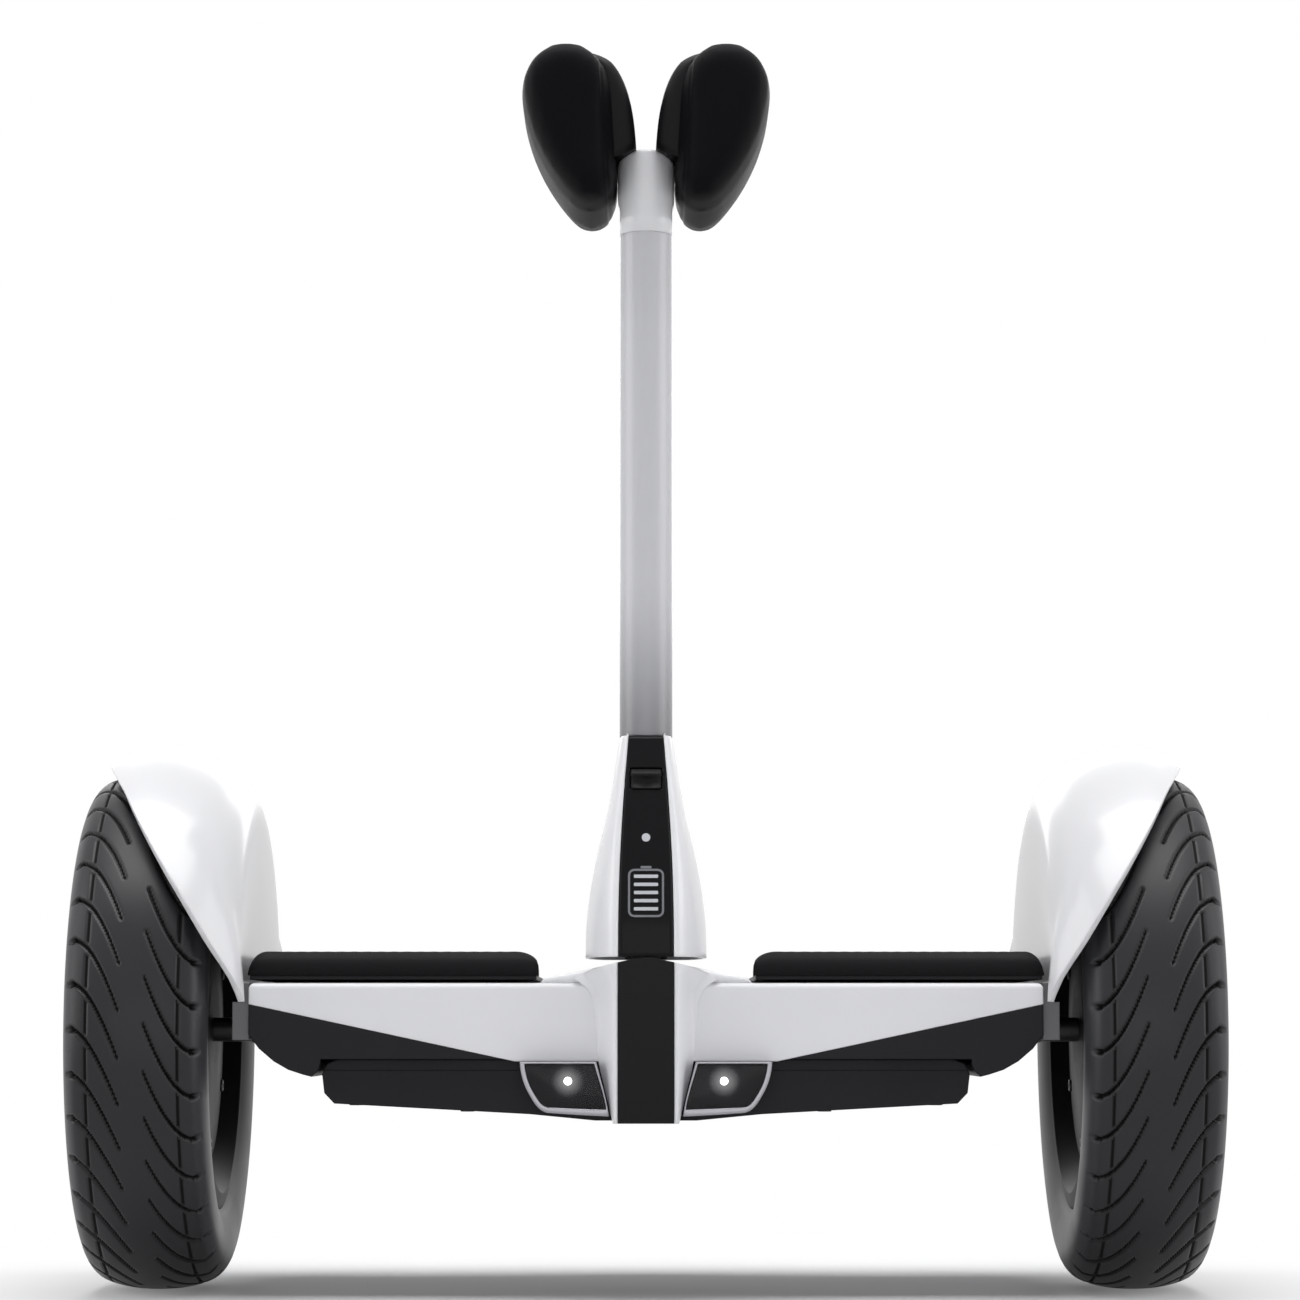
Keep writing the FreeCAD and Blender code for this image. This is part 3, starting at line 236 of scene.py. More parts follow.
# %% Dust group
# Dust lies on faces that look up, in patches, and turns the colour towards its own.
dust, given, put = new_group(
    "settled_dust",
    [("Colour", "Color", (0.5, 0.5, 0.5, 1)), ("Dust colour", "Color", (0.5, 0.5, 0.5, 1)),
     ("Amount", "Float", 0.1), ("Patches", "Float", 0.5)],
    [("Colour", "Color"), ("Mask", "Float")])
surface = node(dust, "NewGeometry")
parted = node(dust, "SeparateXYZ")
upward = node(dust, "MapRange", {"From Min": 0.1, "From Max": 1.0})
spread = node(dust, "Math", operation="MULTIPLY")
strength = node(dust, "Math", operation="MULTIPLY")
tint = node(dust, "Mix", data_type="RGBA")
join(dust, (surface.outputs["Normal"], parted.inputs[0]), (parted.outputs["Z"], upward.inputs["Value"]),
     (upward.outputs["Result"], spread.inputs[0]), (given.outputs["Patches"], spread.inputs[1]),
     (spread.outputs[0], strength.inputs[0]), (given.outputs["Amount"], strength.inputs[1]),
     (strength.outputs[0], tint.inputs["Factor"]), (given.outputs["Colour"], tint.inputs["A"]),
     (given.outputs["Dust colour"], tint.inputs["B"]), (tint.outputs["Result"], put.inputs["Colour"]),
     (strength.outputs[0], put.inputs["Mask"]))

# %% [markdown]
# ## The finishes
#
# Every finish starts from the same chain: a soft rounding of hard edges, a fine height for the
# grain, patches that vary colour and gloss, and settled dust. What differs is the numbers: white
# gloss covers barely vary, the belly shell is rough and dusty, and machined steel is streaked.

# %% Finish helper


def finish(name, colour, second, rough, spread=0.06, grain_size=900.0, grain_height=0.02, stretch=(1, 1, 1),
           dust_amount=0.0, dust_colour=(0.45, 0.44, 0.42, 1), edge=0.0006, metallic=0.0, coat=0.0,
           coat_rough=0.06, specular=0.5):
    """A finish whose colour and gloss wander between two values, with grain, rounded edges and dust."""
    material = bpy.data.materials.new(name)
    material.use_nodes = True
    tree = material.node_tree
    shader = tree.nodes["Principled BSDF"]
    for socket, value in (("Metallic", metallic), ("Coat Weight", coat), ("Coat Roughness", coat_rough),
                          ("Specular IOR Level", specular)):
        shader.inputs[socket].default_value = value
    texture = node(tree, "Group", {"Grain size": grain_size, "Stretch": stretch}, "grain", node_tree=grain)
    blend = node(tree, "Mix", {"A": (*colour, 1), "B": (*second, 1)}, "colour drift", data_type="RGBA")
    settled = node(tree, "Group", {"Amount": dust_amount, "Dust colour": dust_colour}, "dust", node_tree=dust)
    gloss = node(tree, "MapRange", {"From Min": 0.3, "From Max": 0.7, "To Min": rough - spread,
                                    "To Max": rough + spread}, "gloss drift")
    dulled = node(tree, "Math", None, "dust dulls", operation="ADD", use_clamp=True)
    edges = node(tree, "Bevel", {"Radius": edge}, "edge rounding", samples=4)
    bump = node(tree, "Bump", {"Strength": 1.0, "Distance": grain_height * MM}, "grain height")
    join(tree, (texture.outputs["Patches"], blend.inputs["Factor"]),
         (blend.outputs["Result"], settled.inputs["Colour"]),
         (texture.outputs["Patches"], settled.inputs["Patches"]),
         (settled.outputs["Colour"], shader.inputs["Base Color"]),
         (texture.outputs["Patches"], gloss.inputs["Value"]), (gloss.outputs["Result"], dulled.inputs[0]),
         (settled.outputs["Mask"], dulled.inputs[1]), (dulled.outputs[0], shader.inputs["Roughness"]),
         (texture.outputs["Height"], bump.inputs["Height"]), (edges.outputs["Normal"], bump.inputs["Normal"]),
         (bump.outputs["Normal"], shader.inputs["Normal"]))
    return material


def recolour(material, mask, colour, at_one=True):
    """Turn a finish to a colour where a mask is one, or where it is nothing."""
    tree = material.node_tree
    target = tree.nodes["Principled BSDF"].inputs["Base Color"]
    before = target.links[0].from_socket
    new, old = ("B", "A") if at_one else ("A", "B")
    turned = node(tree, "Mix", {new: (*colour, 1)}, "second colour", data_type="RGBA")
    join(tree, (mask, turned.inputs["Factor"]), (before, turned.inputs[old]), (turned.outputs["Result"], target))


# %% White gloss covers and white coated metal
white_cover = finish("white_cover", (0.79, 0.79, 0.805), (0.76, 0.76, 0.78), 0.3, 0.04, 1400, 0.002,
                     edge=0.0012, coat=0.3, coat_rough=0.10, dust_amount=0.03)
# The fenders' white is a darker copy of the covers' white: painted shade.
fender_white_painted_shade = finish("fender_white_painted_shade", (0.685, 0.685, 0.70), (0.675, 0.675, 0.69), 0.3, 0.0, 1400, 0.002,
                      edge=0.0012, coat=0.3, coat_rough=0.10)
white_coat = finish("white_coat", (0.74, 0.74, 0.76), (0.71, 0.71, 0.73), 0.34, 0.05, 2400, 0.006,
                    edge=0.0012, coat=0.25, coat_rough=0.12, dust_amount=0.04)
bare_metal = finish("bare_casting", (0.105, 0.105, 0.11), (0.14, 0.14, 0.145), 0.5, 0.1, 1800, 0.02,
                    edge=0.0008, metallic=0.25, dust_amount=0.1)

# %% Dark plastics
dark_shell = finish("dark_shell", (0.006, 0.006, 0.008), (0.010, 0.010, 0.013), 0.45, 0.07, 2600, 0.012,
                    edge=0.001, dust_amount=0.06, dust_colour=(0.16, 0.16, 0.17, 1), specular=0.16)
gloss_black = finish("gloss_black", (0.004, 0.004, 0.005), (0.006, 0.006, 0.007), 0.22, 0.03, 1200, 0.001,
                     edge=0.0004, specular=0.10, dust_amount=0.02, dust_colour=(0.2, 0.2, 0.2, 1))
satin_black = finish("satin_black", (0.004, 0.004, 0.005), (0.007, 0.007, 0.008), 0.4, 0.05, 2400, 0.006,
                     edge=0.0006, dust_amount=0.03, specular=0.12)
soft_rubber = finish("soft_rubber", (0.004, 0.004, 0.005), (0.007, 0.007, 0.008), 0.6, 0.06, 3200, 0.03,
                     edge=0.0006, dust_amount=0.05, dust_colour=(0.12, 0.118, 0.115, 1), specular=0.12)
rim_black = finish("rim_black", (0.005, 0.005, 0.006), (0.008, 0.008, 0.009), 0.5, 0.06, 1500, 0.008,
                   edge=0.001, dust_amount=0.03, specular=0.15)

# %% Metals and the inside
plain_steel = finish("ground_steel", (0.52, 0.52, 0.53), (0.60, 0.60, 0.61), 0.26, 0.07, 700, 0.004,
                     stretch=(14, 1, 1), edge=0.0005, metallic=1.0)
magnet_plate = finish("magnet_plate", (0.50, 0.49, 0.47), (0.58, 0.57, 0.55), 0.3, 0.06, 1200, 0.003,
                      edge=0.0006, metallic=1.0)
iron_stack = finish("laminated_iron", (0.17, 0.17, 0.18), (0.25, 0.25, 0.26), 0.4, 0.08, 500, 0.03,
                    stretch=(12, 0.5, 0.5), edge=0.0003, metallic=0.9)
bush_bronze = finish("bush_bronze", (0.46, 0.28, 0.12), (0.54, 0.34, 0.16), 0.36, 0.07, 1200, 0.006,
                     edge=0.0003, metallic=1.0)
cell_wrap = finish("cell_wrap", (0.02, 0.07, 0.20), (0.03, 0.09, 0.24), 0.3, 0.06, 300, 0.05, edge=0.001)
board_mask = finish("board_mask", (0.01, 0.10, 0.035), (0.015, 0.13, 0.05), 0.36, 0.06, 900, 0.02,
                    edge=0.0002)

# %% Lamp finishes
lamp_silver = finish("lamp_silver", (0.25, 0.25, 0.27), (0.32, 0.32, 0.34), 0.24, 0.04, 1600, 0.003,
                     edge=0.0006, metallic=0.9)
smoky_lens = finish("smoky_lens", (0.010, 0.010, 0.012), (0.014, 0.014, 0.016), 0.08, 0.02, 500, 0.0,
                    edge=0.0001, specular=0.2)
# Smoked plastic scatters a little of the diode's light: a soft spot that fades within 9 mm of it.
DIODE = (0.0368, 0, 0.1038)
GLOW_REACH = 0.009
tree = smoky_lens.node_tree
shader = tree.nodes["Principled BSDF"]
shader.inputs["Alpha"].default_value = 0.55
shader.inputs["Emission Color"].default_value = (1, 1, 1, 1)
place = node(tree, "TexCoord")
mirrored = node(tree, "VectorMath", None, "both lamps alike", operation="ABSOLUTE")
flat = node(tree, "VectorMath", {1: (1, 0, 1)}, "without depth", operation="MULTIPLY")
reach = node(tree, "VectorMath", {1: DIODE}, "distance to the diode", operation="DISTANCE")
fall = node(tree, "MapRange", {"From Min": GLOW_REACH, "From Max": 0.0, "To Max": 0.22}, "fall",
            interpolation_type="SMOOTHERSTEP")
join(tree, (place.outputs["Object"], mirrored.inputs[0]), (mirrored.outputs[0], flat.inputs[0]),
     (flat.outputs[0], reach.inputs[0]), (reach.outputs["Value"], fall.inputs["Value"]),
     (fall.outputs["Result"], shader.inputs["Emission Strength"]))
tail_red = finish("tail_red", (0.20, 0.004, 0.004), (0.26, 0.006, 0.005), 0.2, 0.03, 500, 0.004,
                  edge=0.0006, specular=0.2)
pad_leather = finish("pad_cover", (0.0035, 0.0035, 0.0045), (0.006, 0.006, 0.007), 0.5, 0.06, 1900, 0.06,
                     edge=0.0001, specular=0.03)
tyre_rubber = finish("tyre_rubber", (0.010, 0.010, 0.012), (0.015, 0.015, 0.018), 0.40, 0.07, 1700, 0.03,
                     edge=0.0001, dust_amount=0.03, dust_colour=(0.10, 0.098, 0.095, 1), specular=0.30)

# %% Tones of the tyre
# The tyre's mesh says where its flank is, and where a groove is. The flank is painted lighter, a painted
# highlight of the side lights on the shoulders and sides; a groove is painted darker, painted shade in it, and
# matt.
tree = tyre_rubber.node_tree
flank_highlight_mask = node(tree, "Attribute", attribute_name="flank_painted_highlight")
groove_shade_and_matt_mask = node(tree, "Attribute", attribute_name="groove_shade_and_matt")
# Painted highlight on the flank, painted shade in the grooves.
recolour(tyre_rubber, flank_highlight_mask.outputs["Fac"], (0.032, 0.032, 0.036))
recolour(tyre_rubber, groove_shade_and_matt_mask.outputs["Fac"], (0.001, 0.001, 0.001))
roughness = tree.nodes["Principled BSDF"].inputs["Roughness"]
matt_groove = node(tree, "Math", None, "matt in the grooves", operation="MAXIMUM")
join(tree, (roughness.links[0].from_socket, matt_groove.inputs[0]),
     (groove_shade_and_matt_mask.outputs["Fac"], matt_groove.inputs[1]), (matt_groove.outputs[0], roughness))

# %% A lamp's glow
led_white = bpy.data.materials.new("lamp_white")
led_white.use_nodes = True
tree = led_white.node_tree
shader = tree.nodes["Principled BSDF"]
shader.inputs["Roughness"].default_value = 0.3
shader.inputs["Emission Strength"].default_value = 22.0
place = node(tree, "TexCoord")
spot = node(tree, "TexNoise", {"Scale": 600.0})
ramp = node(tree, "Mix", {"A": (0.86, 0.87, 0.90, 1), "B": (0.95, 0.96, 1.0, 1)}, data_type="RGBA")
join(tree, (place.outputs["Object"], spot.inputs["Vector"]), (spot.outputs["Fac"], ramp.inputs["Factor"]),
     (ramp.outputs["Result"], shader.inputs["Base Color"]),
     (ramp.outputs["Result"], shader.inputs["Emission Color"]))

# %% [markdown]
# ## Dressing the frame
#
# The record names a material slot for every part of the frame. One table from slot to finish
# dresses them all, so that no part is left plain.

# %% Dress every part by its slot
FINISH_OF_SLOT = {
    "white_plastic": white_cover, "white_coated_aluminium": white_coat, "bare_casting": bare_metal,
    "dark_plastic": dark_shell, "black_gloss": gloss_black, "black_satin": satin_black,
    "tyre_rubber": tyre_rubber, "soft_rubber": soft_rubber, "rim_dark": rim_black, "steel": plain_steel,
    "magnet": magnet_plate, "laminated_iron": iron_stack, "bronze": bush_bronze, "cell_wrap": cell_wrap,
    "board": board_mask, "lamp_silver": lamp_silver, "smoky_lens": smoky_lens, "lamp_white": led_white,
    "tail_lens": tail_red, "pad_cover": pad_leather}


def dress(node, material):
    part = frame["nodes"][node]
    for place in part.material_slots:
        place.material = material


for row in frame["record"]["subparts"]:
    dress(row["node"], FINISH_OF_SLOT[row["material_slot"]])
# The bar's white is a darker copy of the frame's white coat, painted shade, and it turns darker still towards
# its foot where it slides into the neck: painted shade and a painted reflection of the dark strip.
bar_coat_painted_shade = finish("bar_coat_painted_shade", (0.56, 0.56, 0.58), (0.53, 0.53, 0.55), 0.34, 0.05, 2400, 0.006, edge=0.0012,
                  coat=0.2, coat_rough=0.12)
tree = bar_coat_painted_shade.node_tree
place = node(tree, "TexCoord")
height = node(tree, "SeparateXYZ")
# Painted shade and painted reflection: the bar darkens towards its foot.
painted_foot_shade = node(tree, "MapRange", {"From Min": 0.245, "From Max": 0.350}, "painted shade, foot to head",
            interpolation_type="SMOOTHSTEP")
join(tree, (place.outputs["Object"], height.inputs[0]), (height.outputs["Z"], painted_foot_shade.inputs["Value"]))
recolour(bar_coat_painted_shade, painted_foot_shade.outputs["Result"], (0.16, 0.16, 0.17), at_one=False)
dress("bar_tube", bar_coat_painted_shade)
black_steel = finish("blackened_steel", (0.05, 0.05, 0.052), (0.08, 0.08, 0.082), 0.4, 0.08, 700, 0.004,
                     stretch=(14, 1, 1), edge=0.0005, metallic=0.8)
# The axle and its bearings are dark: painted shade for the shaded inside of the wheel.
dress("wheel_axles", black_steel)
dress("wheel_bearings", rim_black)
print("finishes", len(FINISH_OF_SLOT))

# %% [markdown]
# ## Helpers for new pieces
#
# Most new pieces start from a few points in millimetres. A chain of smooth arcs gives a
# section from a handful of numbers, and one helper turns a finished bmesh into an object that
# rides on a body of the frame.

# %% Piece helpers


SIDES = ("left", "right")


def bezier_chain(*arcs, steps=8):
    """Points along joined cubic arcs of four (a, b) pairs, or three when one goes on from the last."""
    points = []
    for arc in arcs:
        corners = [Vector((a, b, 0)) for a, b in arc]
        if len(corners) == 3:
            corners.insert(0, points[-1])
        run = mathutils.geometry.interpolate_bezier(*corners, steps + 1)
        points += run if not points else run[1:]
    return points


def strand(bm, points, closed=False):
    """The edges of an open or closed line through points, as the start of a spin, a bridge or a fill."""
    verts = [bm.verts.new(point) for point in points]
    ends = verts[1:] + verts[:1] if closed else verts[1:]
    return [bm.edges.new(pair) for pair in zip(verts, ends)]


def skin(bm, loops):
    """Closed loops of points, each bridged to the next, with the first and the last one filled."""
    rings = [strand(bm, loop, closed=True) for loop in loops]
    for one, other in zip(rings, rings[1:]):
        bmesh.ops.bridge_loops(bm, edges=one + other)
    for ring in (rings[0], rings[-1]):
        bmesh.ops.contextual_create(bm, geom=ring)


def bent_grid(bm, columns, rows, place):
    """A grid of so many faces whose points go where place says, from their shares across and along."""
    for vert in bmesh.ops.create_grid(bm, x_segments=columns, y_segments=rows, size=0.5)["verts"]:
        vert.co = Vector(place(vert.co.x + 0.5, vert.co.y + 0.5)) * MM


def pushed_verts(found):
    return [item for item in found if isinstance(item, bmesh.types.BMVert)]


def whole(bm):
    return bm.verts[:] + bm.edges[:] + bm.faces[:]


def border(bm):
    return [edge for edge in bm.edges if edge.is_boundary]


def thicken(bm, depth):
    """Extrude all faces of a bmesh by a vector in metres."""
    grown = bmesh.ops.extrude_face_region(bm, geom=bm.faces[:])["geom"]
    bmesh.ops.translate(bm, vec=depth, verts=pushed_verts(grown))


def cut_along(bm, planes, near=0.0):
    """Cut a bmesh along planes, given as (place, normal), so that faces end there."""
    for place, normal in planes:
        bmesh.ops.bisect_plane(bm, geom=whole(bm), plane_co=place, plane_no=normal, dist=near)


def tidy(bm, merge=0.00001):
    bmesh.ops.remove_doubles(bm, verts=bm.verts, dist=merge)
    bmesh.ops.recalc_face_normals(bm, faces=bm.faces)


def piece(name, bm, material, body, stands_for=(), flat=False, mirror=False):
    """An object made from a bmesh, dressed and riding on a body of the frame."""
    if mirror:
        bmesh.ops.scale(bm, vec=(-1, 1, 1), verts=bm.verts)
        bmesh.ops.reverse_faces(bm, faces=bm.faces)
    mesh = bpy.data.meshes.new(name)
    bm.to_mesh(mesh)
    bm.free()
    mesh.shade_flat() if flat else mesh.shade_smooth()
    mesh.materials.append(material)
    made = stand(name, mesh)
    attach(made, body)
    if stands_for:
        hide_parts(*stands_for)
    return made


def round_edges(made, width, angle=35):
    """A live Bevel that catches the light along the hard edges of a piece."""
    bevel = made.modifiers.new("edges", "BEVEL")
    bevel.width = width * MM
    bevel.segments = 3
    bevel.limit_method = "ANGLE"
    bevel.angle_limit = math.radians(angle)


def give_wall(made, thick):
    """A live Solidify that gives a skin its wall, on the inner side."""
    wall = made.modifiers.new("wall", "SOLIDIFY")
    wall.thickness = thick * MM
    wall.offset = -1


def ease(value):
    value = min(1.0, max(0.0, value))
    return value * value * (3 - 2 * value)


def edge_drop(inside, radius):
    """How far a rounded edge has fallen at a distance inside its border."""
    short = max(0.0, radius - inside)
    return radius - math.sqrt(max(0.0, radius * radius - short * short))


# %% [markdown]
# ## The tyres
#
# A tubeless scooter tyre has a smooth rib in the middle and, on each half, curved grooves that
# start at a small hole on the shoulder and sweep in towards the rib. The outer half's grooves run
# down the front of the wheel and the inner half's run up, half a step apart.
# The groove could be cut with Booleans, but 72 cuts make poor triangles. Instead one step of the
# pattern is a fine grid, bent to the tyre's section, and each point is pushed in by the depth of the
# groove at that place. The step is then spun 36 times round the axle.

# %% Tyre section
AXLE_Z = 0.128
WHEEL_X = 0.240
SHOULDER = 28.7
TREAD_STEPS = 36
STEP_TURN = 2 * math.pi / TREAD_STEPS

half_section = bezier_chain(
    [(0, 128), (11, 128), (20.5, 126.2), (26.3, 123.0)],
    [(29.2, 121.3), (31.5, 118.6), (32.7, 115)],
    [(34.4, 111), (34.4, 101), (31.6, 94)],
    [(30.6, 91.6), (29.4, 90.2), (28.5, 89)], steps=24)


def along(points, spacings):
    """Places on a line of points at given distances from its start."""
    placed = []
    gone, i = 0.0, 0
    for want in spacings:
        while i < len(points) - 2 and gone + (points[i + 1] - points[i]).length < want:
            gone += (points[i + 1] - points[i]).length
            i += 1
        span = points[i + 1] - points[i]
        share = min(1.0, (want - gone) / span.length)
        normal = Vector((-span.y, span.x, 0)).normalized()
        placed.append((points[i] + span * share, normal * (-1 if normal.y < 0 else 1)))
    return placed


tread_columns = [i * 0.86 for i in range(36)]
side_columns = [31.5, 33.6, 36, 39, 43, 47.5, 52.5, 57.5, 62, 65.4]
section = along(half_section, tread_columns + side_columns)
print("tyre section: %d columns a half" % len(section))

# %% Groove pattern


def groove_line(side, start):
    """A groove as (across, along) points: from its hole on the shoulder to its end by the rib."""
    line = []
    for i in range(15):
        share = i / 14
        run = 35.7 * share ** 1.5
        line.append((side * (SHOULDER - 22.8 * (run / 35.7) ** 0.6), start + side * run))
    return line


pitch = STEP_TURN * 126.0
groove_lines = []
for lap in (-2, -1, 0, 1, 2):
    groove_lines.append((1, groove_line(1, lap * pitch)))
    groove_lines.append((-1, groove_line(-1, (lap + 0.5) * pitch)))


def reach_to(line, a, b):
    """Distance from a place to a line of points, and how far along the line it is."""
    best = (99.0, 0.0)
    spot = Vector((a, b))
    for i in range(len(line) - 1):
        near, share = mathutils.geometry.intersect_point_line(spot, line[i], line[i + 1])
        share = min(1.0, max(0.0, share))
        on = Vector(line[i]).lerp(Vector(line[i + 1]), share)
        gap = (spot - on).length
        if gap < best[0]:
            best = (gap, (i + share) / (len(line) - 1))
    return best


def tread_depth(a, b):
    """How far the rubber is pushed in at a place of the pattern, in millimetres."""
    depth, nearest = 0.0, 99.0
    for side, line in groove_lines:
        if a * side < 2:
            continue
        gap, share = reach_to(line, a, b)
        wide = 0.75 - 0.30 * share
        depth = max(depth, (2.8 - 1.1 * share) * ease((wide + 0.35 - gap) / 0.6))
        nearest = min(nearest, gap)
        hole = math.dist((a, b), line[0])
        depth = max(depth, 3.2 * ease((2.0 - hole) / 0.9))
    if nearest > 1.9:
        depth = max(depth, 0.9 * ease((1.0 - abs(abs(a) - 21.5)) / 0.7))
    return depth


# %% Spin the tyres
ROWS = 29


def tyre_mesh():
    sides = [(spot, normal, 1) for spot, normal in section]
    loop = [(spot, normal, -1) for spot, normal in reversed(section[1:])] + sides
    seat = [(Vector((27, 83, 0)), 1), (Vector((27, 83, 0)), -1)]
    bm = bmesh.new()
    flank_painted_highlight = bm.verts.layers.float.new("flank_painted_highlight")
    groove_shade_and_matt = bm.verts.layers.float.new("groove_shade_and_matt")
    columns = len(loop) + 3
    bmesh.ops.create_grid(bm, x_segments=columns - 1, y_segments=ROWS, size=0.5)
    for vert in bm.verts:
        column = round((vert.co.x + 0.5) * (columns - 1))
        share = vert.co.y + 0.5
        if column < len(loop):
            spot, normal, side = loop[column]
            a, r = spot.x * side, spot.y
            push = tread_depth(a, share * pitch) if abs(a) < 33.2 and r > 112 else 0.0
            # The flank mark carries a painted highlight, the groove mark painted shade and matt gloss.
            vert[flank_painted_highlight] = ease((abs(a) - 27.0) / 3.0)
            vert[groove_shade_and_matt] = min(1.0, push / 0.5)
            a, r = a - normal.x * side * push, r - normal.y * push
        elif column == columns - 1:
            a, r = -28.5, 89.0
        else:
            spot, side = seat[column - len(loop)]
            a, r = spot.x * side, spot.y
        turn = share * STEP_TURN
        vert.co = (a * MM, -r * MM * math.cos(turn), -r * MM * math.sin(turn))
    bmesh.ops.spin(bm, geom=whole(bm), cent=(0, 0, 0), axis=(1, 0, 0),
                   angle=STEP_TURN * (TREAD_STEPS - 1), steps=TREAD_STEPS - 1, use_duplicate=True)
    tidy(bm, 0.00002)
    bmesh.ops.translate(bm, vec=(WHEEL_X, 0, AXLE_Z), verts=bm.verts)
    return bm


for side in SIDES:
    made = piece("tread_tyre_" + side, tyre_mesh(), tyre_rubber, "wheel_" + side, ["tyre_" + side],
                 mirror=side == "right")
    print(made.name, len(made.data.polygons), "faces")

# %% [markdown]
# ## The fenders
#
# Each fender is one thin moulded shell: a flat wall beside the frame, a soft corner, and a crown
# over the tyre that ends in a thin lip. Seen from the front its edge runs in one slanted line from
# the axle to the outer tip. Every point of the section is swung round the axle just as far as that
# line allows, so the edge comes out clean, and near its foot the wall bends in to meet the frame.
# Solidify with a small Bevel gives it its wall.

# %% Fender shells
fender_section = bezier_chain(
    [(192, 21.8), (192, 48), (192, 76), (192, 101)],
    [(192.2, 118), (202, 129.5), (216, 135.2)],
    [(224.5, 138.6), (232, 141), (241, 141)],
    [(250, 141), (259.5, 137.4), (265.2, 131.6)], steps=10)
EDGE_X = [180.0, 187.9, 191.4, 250.6, 256.4, 270.0]
EDGE_Z = [138.6, 138.8, 148.5, 242.6, 249.6, 264.4]


def edge_height(x):
    """The height where the fender's slanted edge passes a distance from the middle."""
    i = max(j for j in range(len(EDGE_X) - 1) if EDGE_X[j] <= x)
    return EDGE_Z[i] + (x - EDGE_X[i]) * (EDGE_Z[i + 1] - EDGE_Z[i]) / (EDGE_X[i + 1] - EDGE_X[i])


def wall_bend(x, y):
    return x - 5.5 * ease((abs(y) - 99) / 14) * ease((201 - x) / 9)


def fender_place(across, along_edge):
    spot = fender_section[round(across * (len(fender_section) - 1))]
    reach = 0.0
    for again in range(8):
        height = edge_height(wall_bend(spot.x, spot.y * math.sin(reach)))
        reach = math.acos(min(1.0, (height - 128) / spot.y))
    turn = reach * (2 * along_edge - 1)
    y = spot.y * math.sin(turn)
    return wall_bend(spot.x, y), y, 128 + spot.y * math.cos(turn)


for side in SIDES:
    bm = bmesh.new()
    bent_grid(bm, len(fender_section) - 1, 96, fender_place)
    tidy(bm, 0.00003)
    if max(bm.faces, key=lambda f: f.calc_center_median().z).normal.z < 0:
        bmesh.ops.reverse_faces(bm, faces=bm.faces)
    made = piece("fender_shell_" + side, bm, fender_white_painted_shade, "chassis", ["fender_" + side],
                 mirror=side == "right")
    give_wall(made, 3)
    round_edges(made, 0.8)
    print(made.name, len(made.data.polygons), "faces")

# %% [markdown]
# ## The knee pads
#
# Each pad is foam under a stretched cover, sewn along a line near its inner side and stuck to a
# hard backing. A plain solid looks carved, so the foam is simulated: the frame's pad is remeshed
# into even faces, shrunk a little, and blown up gently as cloth, which rounds the crown and pulls
# the sides in. The sewn line is pressed in afterwards, because remeshing would erase it.

# %% Foam by simulation
PAD_SHRINK = 0.2
PAD_SWELL_LIMIT = 2.5
PAD_BACK_LIMIT = 0.6
PAD_BACK_X = 19.0
PAD_FRAMES = 20


def applied(made):
    """The mesh of an object with its modifiers applied. The object itself goes."""
    mesh = bpy.data.meshes.new_from_object(made.evaluated_get(bpy.context.evaluated_depsgraph_get()))
    bpy.data.objects.remove(made)
    return mesh


def even_mesh(bm, voxel):
    """The same form in even faces, through a voxel remesh."""
    mesh = bpy.data.meshes.new("rough_pad")
    bm.to_mesh(mesh)
    bm.free()
    rough = stand("rough_pad", mesh)
    remesh = rough.modifiers.new("even", "REMESH")
    remesh.mode = "VOXEL"
    remesh.voxel_size = voxel * MM
    remesh.use_smooth_shade = True
    bpy.context.view_layer.update()
    return applied(rough)


def swollen(mesh):
    """The mesh after twenty frames of gentle pressure, with each point's movement capped."""
    start = [v.co.copy() for v in mesh.vertices]
    cushion = stand("cushion", mesh)
    cloth = cushion.modifiers.new("cloth", "CLOTH")
    for name, value in (("quality", 6), ("mass", 0.3), ("use_pressure", True), ("uniform_pressure_force", 9.0),
                        ("tension_stiffness", 18), ("compression_stiffness", 18)):
        setattr(cloth.settings, name, value)
    cloth.settings.effector_weights.gravity = 0.0
    cloth.point_cache.frame_start = 1
    cloth.point_cache.frame_end = PAD_FRAMES
    for number in range(1, PAD_FRAMES + 1):
        bpy.context.scene.frame_set(number)
    blown = applied(cushion)
    bpy.context.scene.frame_set(1)
    for vert, before in zip(blown.vertices, start):
        limit = (PAD_BACK_LIMIT if before.x < PAD_BACK_X * MM else PAD_SWELL_LIMIT) * MM
        step = vert.co - before
        if step.length > limit:
            vert.co = before + step.normalized() * limit
    return blown


bm = bmesh.new()
bm.from_mesh(frame["nodes"]["knee_pad_left"].data)
tidy(bm)
for vert in bm.verts:
    vert.co -= vert.normal * PAD_SHRINK * MM
pad_mesh = even_mesh(bm, 4.5)
pad_mesh = swollen(pad_mesh)
print("pad", len(pad_mesh.vertices), "points")

# %% Sewn line and both pads
SEAM_TOP = Vector((0.0225, 0, 0.600))
SEAM_FOOT = Vector((0.0175, 0, 0.522))
SEAM_DEPTH = 0.35


